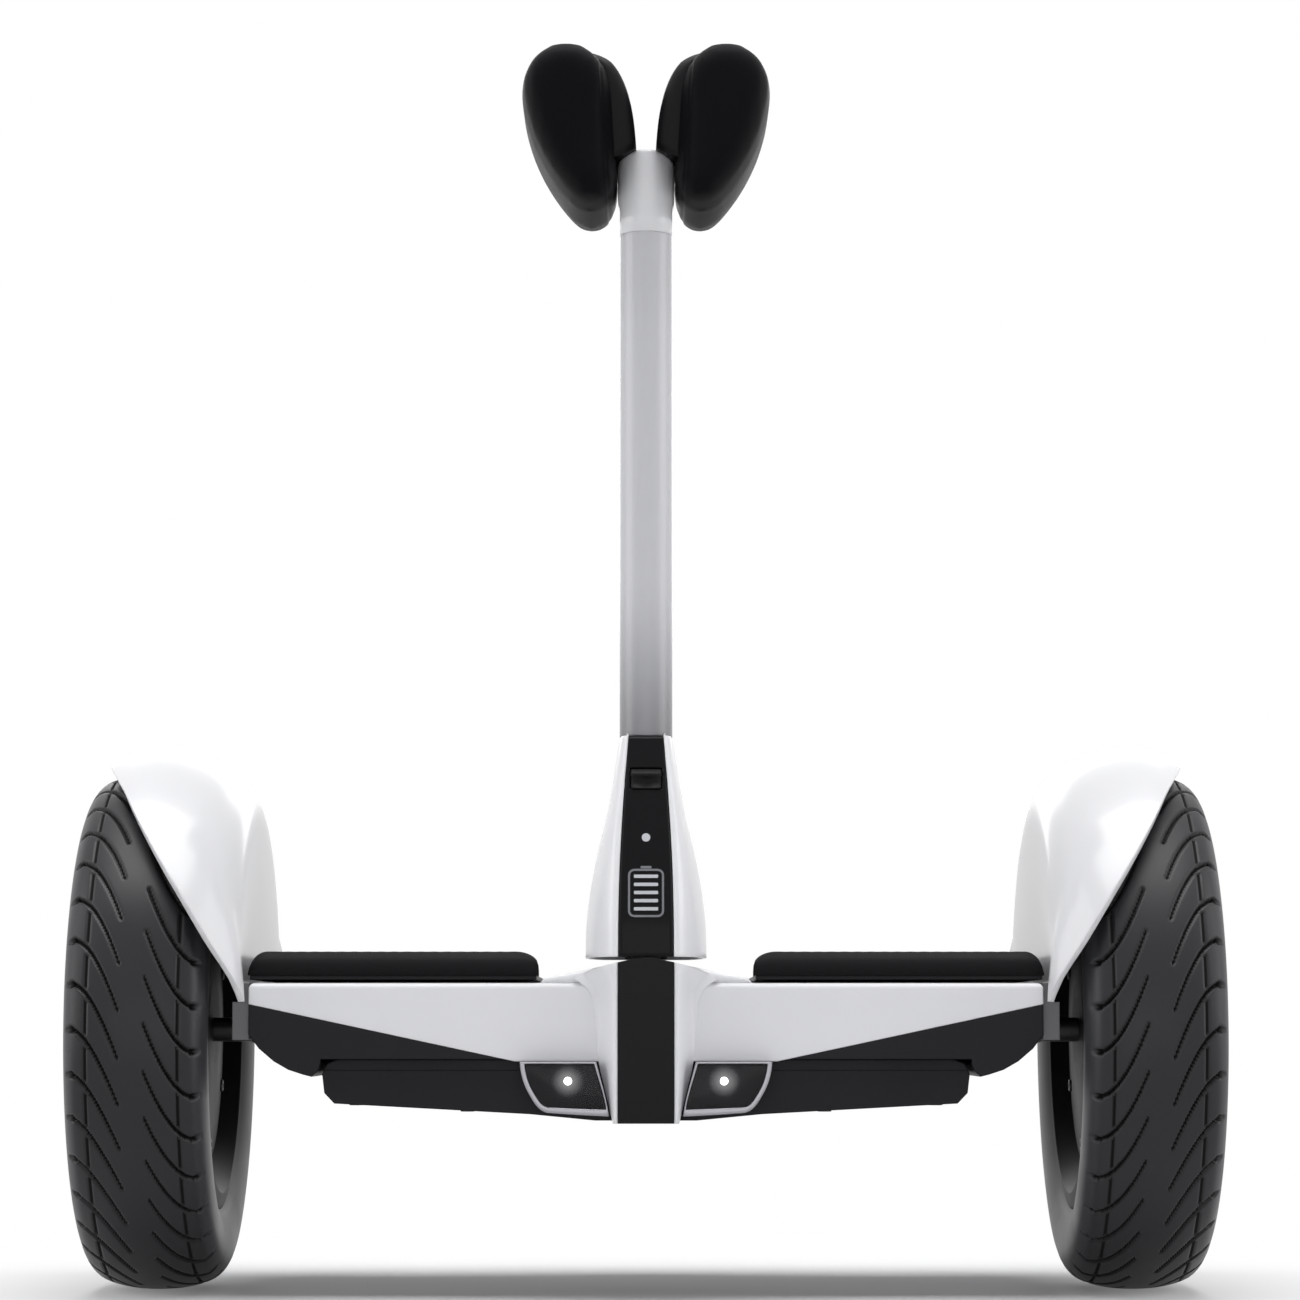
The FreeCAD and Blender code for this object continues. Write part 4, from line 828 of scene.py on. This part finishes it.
def sewn(mesh):
    """Smooth the pad, then press a narrow channel in along a slanted plane."""
    bm = bmesh.new()
    bm.from_mesh(mesh)
    bmesh.ops.smooth_vert(bm, verts=bm.verts, factor=0.5, use_axis_x=True, use_axis_y=True, use_axis_z=True)
    bmesh.ops.subdivide_edges(bm, edges=bm.edges, cuts=1, smooth=0.6, use_grid_fill=True)
    run = SEAM_TOP - SEAM_FOOT
    across = Vector((run.z, 0, -run.x)).normalized()
    cut_along(bm, [(SEAM_FOOT + across * shift * MM, across) for shift in (-1.0, -0.4, 0.0, 0.4, 1.0)], 0.00001)
    bmesh.ops.remove_doubles(bm, verts=bm.verts, dist=0.0001)
    bm.normal_update()
    for vert in bm.verts:
        off = abs((vert.co - SEAM_FOOT).dot(across)) / MM
        vert.co -= vert.normal * ease((1.0 - off) / 0.9) * SEAM_DEPTH * MM
    return bm


for side in SIDES:
    made = piece("pad_cushion_" + side, sewn(pad_mesh), pad_leather, "control_bar", ["knee_pad_" + side],
                 mirror=side == "right")
    print(made.name, len(made.data.polygons), "faces")

# %% [markdown]
# ## The pads' shells and the head of the bar
#
# A hard shell holds each pad's inner side. Seen from the front it carries the pad's round outline
# on, down to the head of the bar. The shell is one grid bent round a closed section, which shrinks
# towards the pad at both ends, so no edge is left sharp. The head is a skin over oval loops: the
# lowest ones lie on the tube, the next ones swell softly, and the last ones follow the arched top.

# %% Pad shells
BAR_Y = -70.0
SHELL_HALF = 30.0
SHELL_ROUND = 5.0
shell_outer = bezier_chain([(4.7, 551.4), (5.2, 560), (6.0, 568), (7.8, 575)],
                           [(9.4, 582), (12.4, 589.2), (16.6, 593.6)],
                           [(19.4, 596.0), (23.2, 597.8), (30.5, 598.6)], steps=7)
shell_back = bezier_chain([(16.6, 545.6), (17.0, 556), (17.4, 566), (18.2, 578)],
                          [(18.8, 582), (20.4, 586.4), (22.8, 589.8)],
                          [(24.4, 592), (27.0, 594.6), (30.7, 597.6)], steps=7)


def shell_place(across, along_bar):
    y = -SHELL_HALF * math.cos(math.pi * along_bar)
    pull = 0.85 * edge_drop(SHELL_HALF - abs(y), SHELL_ROUND) / SHELL_ROUND
    steps = len(shell_outer)
    number = round(across * 2 * steps) % (2 * steps)
    i = number if number < steps else 2 * steps - 1 - number
    outer, back = shell_outer[i], shell_back[i]
    spot = outer.lerp(back, pull) if number < steps else back
    return spot.x, BAR_Y + y, spot.y


for side in SIDES:
    bm = bmesh.new()
    bent_grid(bm, 2 * len(shell_outer), 28, shell_place)
    bmesh.ops.remove_doubles(bm, verts=bm.verts, dist=0.00001)
    bmesh.ops.holes_fill(bm, edges=border(bm))
    tidy(bm)
    piece("pad_shell_" + side, bm, satin_black, "control_bar", ["pad_bracket_" + side],
          mirror=side == "right")

# %% Head of the bar
ARCH_RADIUS = 23.72


def oval(half, deep, height, inset=0.0, shrink=1.0):
    """The bar's section at a height: straight sides with half round ends."""
    half, deep = (half - inset) * shrink, (deep - inset) * shrink
    points = []
    for i in range(48):
        turn = math.pi * (2 * i + 1) / 48
        side = 1 if turn < math.pi else -1
        points.append(Vector((half * math.cos(turn), BAR_Y + side * (deep - half) + half * math.sin(turn),
                              height(half * math.cos(turn)))) * MM)
    return points


def arch(drop):
    return lambda x: 552.0 - ARCH_RADIUS + math.sqrt(ARCH_RADIUS ** 2 - x * x) - drop


head_rows = [(512.1, 12.0, 21.4), (512.1, 12.71, 22.06), (520, 12.73, 22.08), (525.5, 12.78, 22.14),
             (527.6, 13.0, 22.4), (529.4, 13.45, 22.9), (531.6, 13.8, 23.35), (535, 13.9, 23.5),
             (541, 13.9, 23.5)]
bm = bmesh.new()
loops = [oval(half, deep, lambda x, z=z: z) for z, half, deep in head_rows]
for drop, inset in ((1.8, 0.0), (1.1, 0.12), (0.5, 0.5), (0.12, 1.1), (0.0, 1.8)):
    loops.append(oval(13.9, 23.5, arch(drop), inset))
loops += [oval(13.9, 23.5, arch(0.0), 1.8, shrink) for shrink in (0.7, 0.4, 0.12)]
skin(bm, loops)
tidy(bm, 0.000001)
made = piece("bar_head", bm, white_cover, "control_bar", ["yoke"])
print(made.name, len(made.data.polygons), "faces")

# %% [markdown]
# ## The lamps
#
# A bright trim runs round each lamp: wide along its swept outer side and its foot, a hairline at
# the top. It is the ring between two loops of points, pushed back into a deep frame. Inside stand
# a dark floor, a small bright bowl round the diode, and a smoked cover that lets the bowl show.

# %% Lamp loops
lamp_outside = bezier_chain([(23.4, 112.8), (35, 112.8), (48, 112.8), (59.4, 112.8)],
                            [(59.3, 107.6), (57.6, 101.6), (54.5, 96.8)],
                            [(52.6, 93.6), (50.6, 89.9), (46.4, 88.9)],
                            [(38, 88.3), (28, 87.6), (17.4, 87.2)],
                            [(18.4, 96), (21.6, 105), (23.4, 112.8)], steps=8)[:-1]
lamp_inside = bezier_chain([(24.4, 111.9), (35, 111.9), (46, 111.9), (57.1, 111.9)],
                           [(56.9, 107.5), (55.4, 102.2), (52.8, 98.2)],
                           [(51.3, 95.6), (49.7, 92.5), (46.4, 91.5)],
                           [(38, 91.1), (29, 90.7), (18.6, 90.4)],
                           [(19.6, 97), (22.6, 105), (24.4, 111.9)], steps=8)[:-1]


def lamp_loop(points, y):
    return [Vector((p.x, y, p.y)) * MM for p in points]


def lamp_plate(points, y, thick):
    """A plate with a lamp's outline."""
    bm = bmesh.new()
    bmesh.ops.contextual_create(bm, geom=strand(bm, lamp_loop(points, y), closed=True))
    thicken(bm, (0, thick * MM, 0))
    tidy(bm)
    return bm


# %% Lamp pieces
LAMP_FRONT = -107.6
LAMP_DEEP = 13.4
lamp_black = finish("lamp_black", (0.045, 0.045, 0.05), (0.055, 0.055, 0.06), 0.5, 0.05, 1600, 0.0,
                    edge=0.0001, specular=0.1)
low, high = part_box("lamp_leds")
led_front = low.y
led_x = high.x - 0.003
led_z = (low.z + high.z) / 2
for side in SIDES:
    trim = bmesh.new()
    ring = strand(trim, lamp_loop(lamp_outside, LAMP_FRONT), closed=True)
    ring += strand(trim, lamp_loop(lamp_inside, LAMP_FRONT), closed=True)
    bmesh.ops.bridge_loops(trim, edges=ring)
    thicken(trim, (0, LAMP_DEEP * MM, 0))
    tidy(trim)
    well = lamp_plate(lamp_inside, -101.2, 1.5)
    glass = lamp_plate(lamp_inside, -107.2, 1.6)
    bowl = bmesh.new()
    strand(bowl, [(0.0019, -0.0001, 0), (0.0026, -0.0003, 0), (0.0046, -0.0010, 0), (0.0051, -0.0011, 0),
                  (0.0053, -0.0009, 0), (0.0053, 0.0006, 0), (0.0035, 0.0006, 0)])
    bmesh.ops.spin(bowl, geom=bowl.verts[:] + bowl.edges[:], cent=(0, 0, 0), axis=(0, 1, 0),
                   angle=2 * math.pi, steps=48, use_merge=True)
    tidy(bowl)
    bmesh.ops.translate(bowl, vec=(led_x, led_front, led_z), verts=bowl.verts)
    right = side == "right"
    made = piece("lamp_trim_" + side, trim, lamp_silver, "chassis", ["lamp_housing_" + side],
                 mirror=right)
    round_edges(made, 0.35)
    piece("lamp_floor_" + side, well, lamp_black, "chassis", flat=True, mirror=right)
    made = piece("lamp_glass_" + side, glass, smoky_lens, "chassis", ["lamp_lens_" + side],
                 mirror=right)
    round_edges(made, 0.5)
    piece("lamp_bowl_" + side, bowl, lamp_silver, "chassis", mirror=right)
print("lamps", len(lamp_inside), "points a loop")

# %% [markdown]
# ## The neck covers
#
# The neck is a tapering tower moulded in two halves. Along the black strip each half has a narrow
# flat border, and behind it the surface rolls round to the side without a hard edge. One fine grid
# per half is bent to the neck: across it follows a smooth section, and up it follows a smooth table
# of widths and depths. The top gets a lip round the bar, and every hard edge a small Bevel.

# %% Neck tables
NECK_LEVELS = [162.0, 180.0, 205.0, 235.0, 268.0]
NECK_SIDE = [29.0, 28.4, 24.8, 18.0, 12.65]
NECK_FRONT = [-112.0, -111.5, -107.5, -101.0, -92.0]
NECK_BACK = [-26.0, -27.0, -33.0, -41.0, -48.0]
NECK_STRIP = [13.2, 13.1, 12.5, 10.9, 8.4]


def in_table(levels, values, at):
    """A smooth value between the rows of a table."""
    i = max(j for j in range(len(levels) - 1) if levels[j] <= at + 0.0001)
    span = levels[i + 1] - levels[i]
    share = (at - levels[i]) / span
    last = len(levels) - 1
    before, after = max(i - 1, 0), min(i + 2, last)
    slope_in = (values[i + 1] - values[before]) / (levels[i + 1] - levels[before]) * span
    slope_out = (values[after] - values[i]) / (levels[after] - levels[i]) * span
    a, b = values[i], values[i + 1]
    s2, s3 = share * share, share ** 3
    return (a * (2 * s3 - 3 * s2 + 1) + slope_in * (s3 - 2 * s2 + share)
            + b * (3 * s2 - 2 * s3) + slope_out * (s3 - s2))


def neck_section(at):
    """The left cover's section at a height: from beside the strip, round the side, to the rear panel."""
    side = in_table(NECK_LEVELS, NECK_SIDE, at)
    strip = in_table(NECK_LEVELS, NECK_STRIP, at)
    front = in_table(NECK_LEVELS, NECK_FRONT, at)
    back = in_table(NECK_LEVELS, NECK_BACK, at)
    deep, wide = back - front, side - strip
    edge = strip + min(2.6, wide * 0.3)
    run = bezier_chain(
        [(strip, front - 0.1), (strip + 0.5, front - 0.15), (edge - 0.6, front), (edge, front + 0.4)],
        [(edge + wide * 0.34, front + deep * 0.05), (side - 0.3, front + deep * 0.18),
         (side, front + deep * 0.42)],
        [(side + 0.1, front + deep * 0.6), (side - 0.4, back - deep * 0.16),
         (side * 0.78, back - deep * 0.05)],
        [(side * 0.6, back), (12, back), (7.6, back)], steps=9)
    return [Vector((strip, front + 3.0, 0))] + run + [Vector((7.6, back - 2.0, 0))]


# %% Neck covers
NECK_ROWS = 40
NECK_FOOT = 162.1
NECK_TALL = 105.8
neck_columns = len(neck_section(NECK_FOOT)) - 1


def neck_place(across, up):
    at = NECK_FOOT + up * NECK_TALL
    spot = neck_section(at)[round(across * neck_columns)]
    return spot.x, spot.y, at


for side in SIDES:
    bm = bmesh.new()
    bent_grid(bm, neck_columns, NECK_ROWS, neck_place)
    top = (NECK_FOOT + NECK_TALL - 0.05) * MM
    top_rim = [e for e in border(bm) if all(v.co.z > top for v in e.verts)]
    inner = bmesh.ops.extrude_edge_only(bm, edges=top_rim)["geom"]
    for vert in pushed_verts(inner):
        vert.co.x = max(0.0005, vert.co.x * 0.3)
        vert.co.y = BAR_Y * MM + (vert.co.y - BAR_Y * MM) * 0.55
    tidy(bm)
    made = piece("neck_skin_" + side, bm, white_cover, "steering", ["neck_cover_" + side],
                 mirror=side == "right")
    give_wall(made, 1.6)
    round_edges(made, 0.5)
    print(made.name, len(made.data.polygons), "faces")

# %% [markdown]
# ## The front column
#
# From the front the white body rises into a column: a narrow bright border on each side of the
# black strip, then a soft hollow into the arms and, higher up, into the low dome under the neck.
# One grid on each side of the strip is pushed forward by a smooth step that is narrow at the foot
# and wide at the dome, and extruded back into the frame.

# %% Column cover
COLUMN_LEVELS = [84.0, 100.0, 114.0, 132.0, 146.0, 153.0, 158.0, 162.0]
COLUMN_BLEND = [3.6, 6.2, 8.4, 8.4, 9.0, 14.0, 22.0, 30.0]
COLUMN_END = [15.6, 19.6, 22.6, 24.0, 27.0, 36.0, 46.0, 49.8]
COLUMN_INNER = 13.3
COLUMN_BACK = -95.5


def dome_top(across):
    """The height of the dome above the frame at a distance from the middle."""
    if across < 7:
        return 161.6 - 0.7 * (across / 7) ** 2
    if across < 36:
        return 160.9 - (across - 7) * 0.215
    return 154.66 - (across - 36) * 0.19


def column_front(across, at):
    blend = in_table(COLUMN_LEVELS, COLUMN_BLEND, at)
    return -112.0 + 13.8 * ease((across - 14.6) / blend)


def column_side(across, at):
    """How far from the middle a share of the way from the strip to the column's end lies."""
    return COLUMN_INNER + across * (in_table(COLUMN_LEVELS, COLUMN_END, at) - COLUMN_INNER)


def column_place(across, up):
    share = across ** 1.5
    foot, head = COLUMN_LEVELS[0], COLUMN_LEVELS[-1]
    top = dome_top(column_side(share, foot + up * (head - foot)))
    at = foot + up * (min(head, top) - foot)
    x = column_side(share, at)
    return x, column_front(x, at), at


bm = bmesh.new()
bent_grid(bm, 26, 44, column_place)
left_half = set(bm.verts)
bent_grid(bm, 26, 44, column_place)
bmesh.ops.scale(bm, vec=(-1, 1, 1), verts=[v for v in bm.verts if v not in left_half])
back = bmesh.ops.extrude_face_region(bm, geom=bm.faces[:])["geom"]
for vert in pushed_verts(back):
    vert.co.y = COLUMN_BACK * MM
tidy(bm)
made = piece("column_cover", bm, white_cover, "chassis", ["front_fascia"])
round_edges(made, 1.1, angle=50)
print(made.name, len(made.data.polygons), "faces")

# %% [markdown]
# ## The display
#
# Under the black strip a lit outline of a battery with five bars shows the charge, and above it a
# small pilot light. These are thin plates that lie on the strip's slope: each is a flat rounded
# rectangle, turned to the slope and sunk by all but a tenth of a millimetre.

# %% Display marks
PLATE_THICK = 0.3
PLATE_PROUD = 0.1
lit_print = finish("lit_print", (0.50, 0.51, 0.54), (0.56, 0.57, 0.60), 0.4, 0.03, 900, 0.0, edge=0.0001)
dim_print = finish("dim_print", (0.15, 0.155, 0.17), (0.18, 0.185, 0.20), 0.4, 0.03, 900, 0.0, edge=0.0001)


def plate(width, height, corner, hollow=0.0):
    """A flat rounded plate in millimetres, or a frame when hollow is given."""
    bm = bmesh.new()
    bmesh.ops.create_grid(bm, x_segments=1, y_segments=1, size=0.5)
    bmesh.ops.scale(bm, vec=(width * MM, height * MM, 1), verts=bm.verts)
    bmesh.ops.bevel(bm, geom=bm.verts[:], offset=corner * MM, offset_type="OFFSET", affect="VERTICES",
                    segments=5, profile=0.5, material=-1)
    if hollow:
        middle = bm.faces[:]
        bmesh.ops.inset_region(bm, faces=middle, thickness=hollow * MM, use_even_offset=True,
                               use_boundary=True)
        bmesh.ops.delete(bm, geom=middle, context="FACES")
    thicken(bm, (0, 0, PLATE_THICK * MM))
    tidy(bm, 0.000001)
    return bm


def strip_front(at):
    return in_table(NECK_LEVELS, NECK_FRONT, at)


def mark(name, bm, at, print_colour):
    """A flat shape laid on the slope of the display strip at a height."""
    lean = math.atan2(strip_front(at + 1) - strip_front(at - 1), 2)
    turn = Matrix.Rotation(math.pi / 2 - lean, 4, "X")
    place = Matrix.Translation((0, (strip_front(at) + PLATE_THICK - PLATE_PROUD) * MM, at * MM))
    bmesh.ops.transform(bm, matrix=place @ turn, verts=bm.verts)
    piece(name, bm, print_colour, "steering", flat=True)


mark("charge_outline", plate(17.0, 23.2, 3.0, 1.0), 192.1, dim_print)
mark("charge_nub", plate(5.2, 1.2, 0.5), 204.3, dim_print)
for i in range(5):
    mark("charge_bar_%d" % (i + 1), plate(11.4, 1.6, 0.4), 184.6 + 3.85 * i, lit_print)
mark("pilot_light", plate(4.0, 4.0, 1.9), 218.5, lit_print)

# %% [markdown]
# ## The display strip and the catch
#
# The strip is one dark glass that runs up the neck, a little wider than flat sheet would give, with
# an opening for the catch. The catch is a thumb tab: a raised lip at its top and a hollow below it.
# Both are grids laid on the slope of the neck, and the glass gets its thickness from Solidify.

# %% Display glass
GLASS_FOOT = 162.2
GLASS_TALL = 105.6
OPENING_HALF = 7.8 * MM
OPENING_LOW = 241.8 * MM
OPENING_HIGH = 252.2 * MM


def glass_place(across, up):
    at = GLASS_FOOT + GLASS_TALL * up
    half = in_table(NECK_LEVELS, NECK_STRIP, at) - 0.15
    return (2 * across - 1) * half, strip_front(at), at


bm = bmesh.new()
bent_grid(bm, 10, 60, glass_place)
cut_along(bm, [((x, 0, 0), (1, 0, 0)) for x in (OPENING_HALF, -OPENING_HALF)]
          + [((0, 0, z), (0, 0, 1)) for z in (OPENING_LOW, OPENING_HIGH)])
opening = [f for f in bm.faces if abs(f.calc_center_median().x) < OPENING_HALF
           and OPENING_LOW < f.calc_center_median().z < OPENING_HIGH]
bmesh.ops.delete(bm, geom=opening, context="FACES")
made = piece("display_glass", bm, gloss_black, "steering", ["display_panel"])
give_wall(made, 2.0)
print(made.name, len(made.data.polygons), "faces")

# %% Catch
TAB_FOOT = 242.1
TAB_TALL = 9.8
TAB_WIDE = 15.0


def tab_place(across, up):
    at = TAB_FOOT + TAB_TALL * up
    beside = TAB_WIDE * min(across, 1 - across)
    below_top = TAB_TALL * (1 - up)
    corner = math.hypot(edge_drop(beside, 2.4), edge_drop(below_top, 3.2))
    hollow = 2.2 * ease(1 - math.hypot((across - 0.5) * 1.7, (up - 0.28) * 2.4))
    lip = 1.2 * ease(1 - abs(up - 0.72) / 0.26)
    return (across - 0.5) * TAB_WIDE, strip_front(at) - 1.2 + min(2.6, corner) + hollow - lip, at


bm = bmesh.new()
bent_grid(bm, 30, 22, tab_place)
for vert in pushed_verts(bmesh.ops.extrude_edge_only(bm, edges=border(bm))["geom"]):
    vert.co.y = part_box("release_button")[1].y
bmesh.ops.holes_fill(bm, edges=border(bm))
tidy(bm)
piece("catch_tab", bm, satin_black, "release", ["release_button"])

# %% [markdown]
# ## The foot mats
#
# Each mat is one rubber moulding whose top falls away in a wide curve at both ends and a tight one
# at the front and the back. Shallow waves run across the foot and fade out towards the borders. The
# top is a fine grid whose height follows those rules; its border is pushed down to the plate.

# %% Foot mats
mat_low, mat_high = [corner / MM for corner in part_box("foot_mat_left")]
MAT_TAPER = 5.0
mat_low.x = 51.0
mat_size = mat_high - mat_low
print("mat", [round(v, 1) for v in mat_low], [round(v, 1) for v in mat_high])


def mat_place(across, along_mat):
    y = along_mat * mat_size.y
    start = MAT_TAPER * along_mat
    x = across * (mat_size.x - start)
    outward = mat_size.x - start - x
    from_side = min(y, mat_size.y - y)
    inner_end = edge_drop(x, 11.0) * 0.6
    outer_end = edge_drop(outward, 9.0) * 1.2
    fall = math.hypot(inner_end, outer_end, edge_drop(from_side, 4.0))
    middle = ease((min(x, outward) - 9) / 8) * ease((from_side - 3) / 6)
    wave = 0.45 * middle * (1 - math.cos(2 * math.pi * outward / 6.3)) / 2
    return mat_low.x + start + x, mat_low.y + y, max(mat_low.z + 0.3, mat_high.z - fall - wave)


for side in SIDES:
    bm = bmesh.new()
    bent_grid(bm, 176, 40, mat_place)
    for vert in pushed_verts(bmesh.ops.extrude_edge_only(bm, edges=border(bm))["geom"]):
        vert.co.z = mat_low.z * MM
    bmesh.ops.holes_fill(bm, edges=border(bm))
    tidy(bm, 0.000001)
    made = piece("mat_rubber_" + side, bm, soft_rubber, "mat_" + side, ["foot_mat_" + side],
                 mirror=side == "right")
    print(made.name, len(made.data.polygons), "faces")

# %% [markdown]
# ## The cover under the neck
#
# The roof between the mats rises to an arch that the neck's foot swings over, and runs out behind
# it in a long ramp. One grid takes the lower of the two heights with a soft change between them,
# and loses the faces over the slot that the neck's web swings in.

# %% Roof cover
ROOF_FRONT = -95.4
ROOF_BACK = 14.0
ROOF_HALF = 50.0
ROOF_FOOT = 150.0
SLOT_HALF = 15.2
SLOT_ENDS = (-91.0, -32.0)


def roof_place(across, along_roof):
    x = ROOF_HALF * (2 * across - 1)
    y = ROOF_FRONT + (ROOF_BACK - ROOF_FRONT) * along_roof
    crown = dome_top(abs(x))
    ramp = 162.0 - (y + 26) * 0.25
    near = max(0.0, 1 - abs(crown - ramp) / 3)
    height = min(crown, ramp) - 0.75 * near * near
    fall = math.hypot(edge_drop(ROOF_HALF - abs(x), 2.0), edge_drop(ROOF_BACK - y, 2.0))
    return x, y, max(150.2, height - fall)


bm = bmesh.new()
bent_grid(bm, 60, 60, roof_place)
cut_along(bm, [((x * MM, 0, 0), (1, 0, 0)) for x in (SLOT_HALF, -SLOT_HALF)]
          + [((0, y * MM, 0), (0, 1, 0)) for y in SLOT_ENDS])
for vert in pushed_verts(bmesh.ops.extrude_edge_only(bm, edges=border(bm))["geom"]):
    vert.co.z = ROOF_FOOT * MM
over_slot = []
for face in bm.faces:
    middle = face.calc_center_median() / MM
    if abs(middle.x) < SLOT_HALF and SLOT_ENDS[0] < middle.y < SLOT_ENDS[1]:
        over_slot.append(face)
bmesh.ops.delete(bm, geom=over_slot, context="FACES")
made = piece("roof_cover", bm, white_cover, "chassis", ["top_cover"])
give_wall(made, 1.5)
print(made.name, len(made.data.polygons), "faces")

# %% [markdown]
# ## Screws, caps and small trim
#
# A transporter is held together by socket screws, and they are what tells its size from close by.
# One helper skins a head from six loops: round ones for the outside, then six sided ones for the
# socket. A screw then costs about 140 faces, and each row of screws is one piece.

# %% Screw helper


def around(turn):
    return Vector((math.cos(turn), math.sin(turn), 0))


def socket_screw(bm, place, facing, radius, tall):
    """One screw head at a place in millimetres, facing along a direction."""
    turn = Vector((0, 0, 1)).rotation_difference(Vector(facing)).to_matrix()
    round_loop, six_loop = [], []
    for i in range(24):
        corner, step = divmod(i, 4)
        a, b = around(corner * math.pi / 3), around((corner + 1) * math.pi / 3)
        six_loop.append(a.lerp(b, step / 4))
        round_loop.append(around(i * math.pi / 12))
    rows = [(round_loop, 1.0, -0.4), (round_loop, 1.0, tall * 0.7), (round_loop, 0.96, tall * 0.9),
            (round_loop, 0.86, tall), (six_loop, 0.52, tall), (six_loop, 0.5, tall * 0.3)]
    skin(bm, [[(Vector(place) + turn @ (p * radius * size + Vector((0, 0, up)))) * MM for p in loop]
              for loop, size, up in rows])


def screws(name, body, heads, radius, tall):
    """A row of black screws as one piece."""
    bm = bmesh.new()
    for place, facing in heads:
        socket_screw(bm, place, facing, radius, tall)
    tidy(bm, 0.000001)
    piece(name, bm, black_steel, body, flat=True)


# %% Wheel caps and screws
CAP_SECTION = [(259.6, 20.6), (261.2, 20.6), (262.0, 19.8), (262.0, 17.6), (261.2, 16.8), (261.2, 15.6),
               (262.2, 14.4), (262.6, 8), (262.7, 0)]


def ring_of_heads(x, radius, count, shift, facing):
    """Places on a circle round the axle, each with the way its screw faces."""
    turns = [2 * math.pi * (i + shift) / count for i in range(count)]
    return [((x, radius * math.sin(turn), 128 + radius * math.cos(turn)), (facing, 0, 0)) for turn in turns]


for side, sign in zip(SIDES, (1, -1)):
    bm = bmesh.new()
    strand(bm, [(x * MM, 0, r * MM) for x, r in CAP_SECTION])
    bmesh.ops.spin(bm, geom=bm.verts[:] + bm.edges[:], cent=(0, 0, 0), axis=(1, 0, 0), angle=2 * math.pi,
                   steps=64, use_merge=True)
    bmesh.ops.translate(bm, vec=(0, 0, AXLE_Z), verts=bm.verts)
    bmesh.ops.holes_fill(bm, edges=border(bm))
    tidy(bm)
    made = piece("hub_cap_" + side, bm, dark_shell, "wheel_" + side, mirror=sign < 0)
    round_edges(made, 0.3)
    screws("rim_screws_" + side, "wheel_" + side, ring_of_heads(sign * 256.0, 49, 5, 0.5, sign), 4.2, 2.2)
    screws("cover_screws_" + side, "wheel_" + side, ring_of_heads(sign * 217.4, 57, 6, 0, -sign), 3.0, 1.4)

# %% Battery screws
heads = [((x, y, 92.6 if abs(x) > 100 else 89.6), (0, 0, -1)) for x in (-138, -85, 85, 138)
         for y in (-80, 80)]
screws("battery_screws", "chassis", heads, 3.4, 0.6)
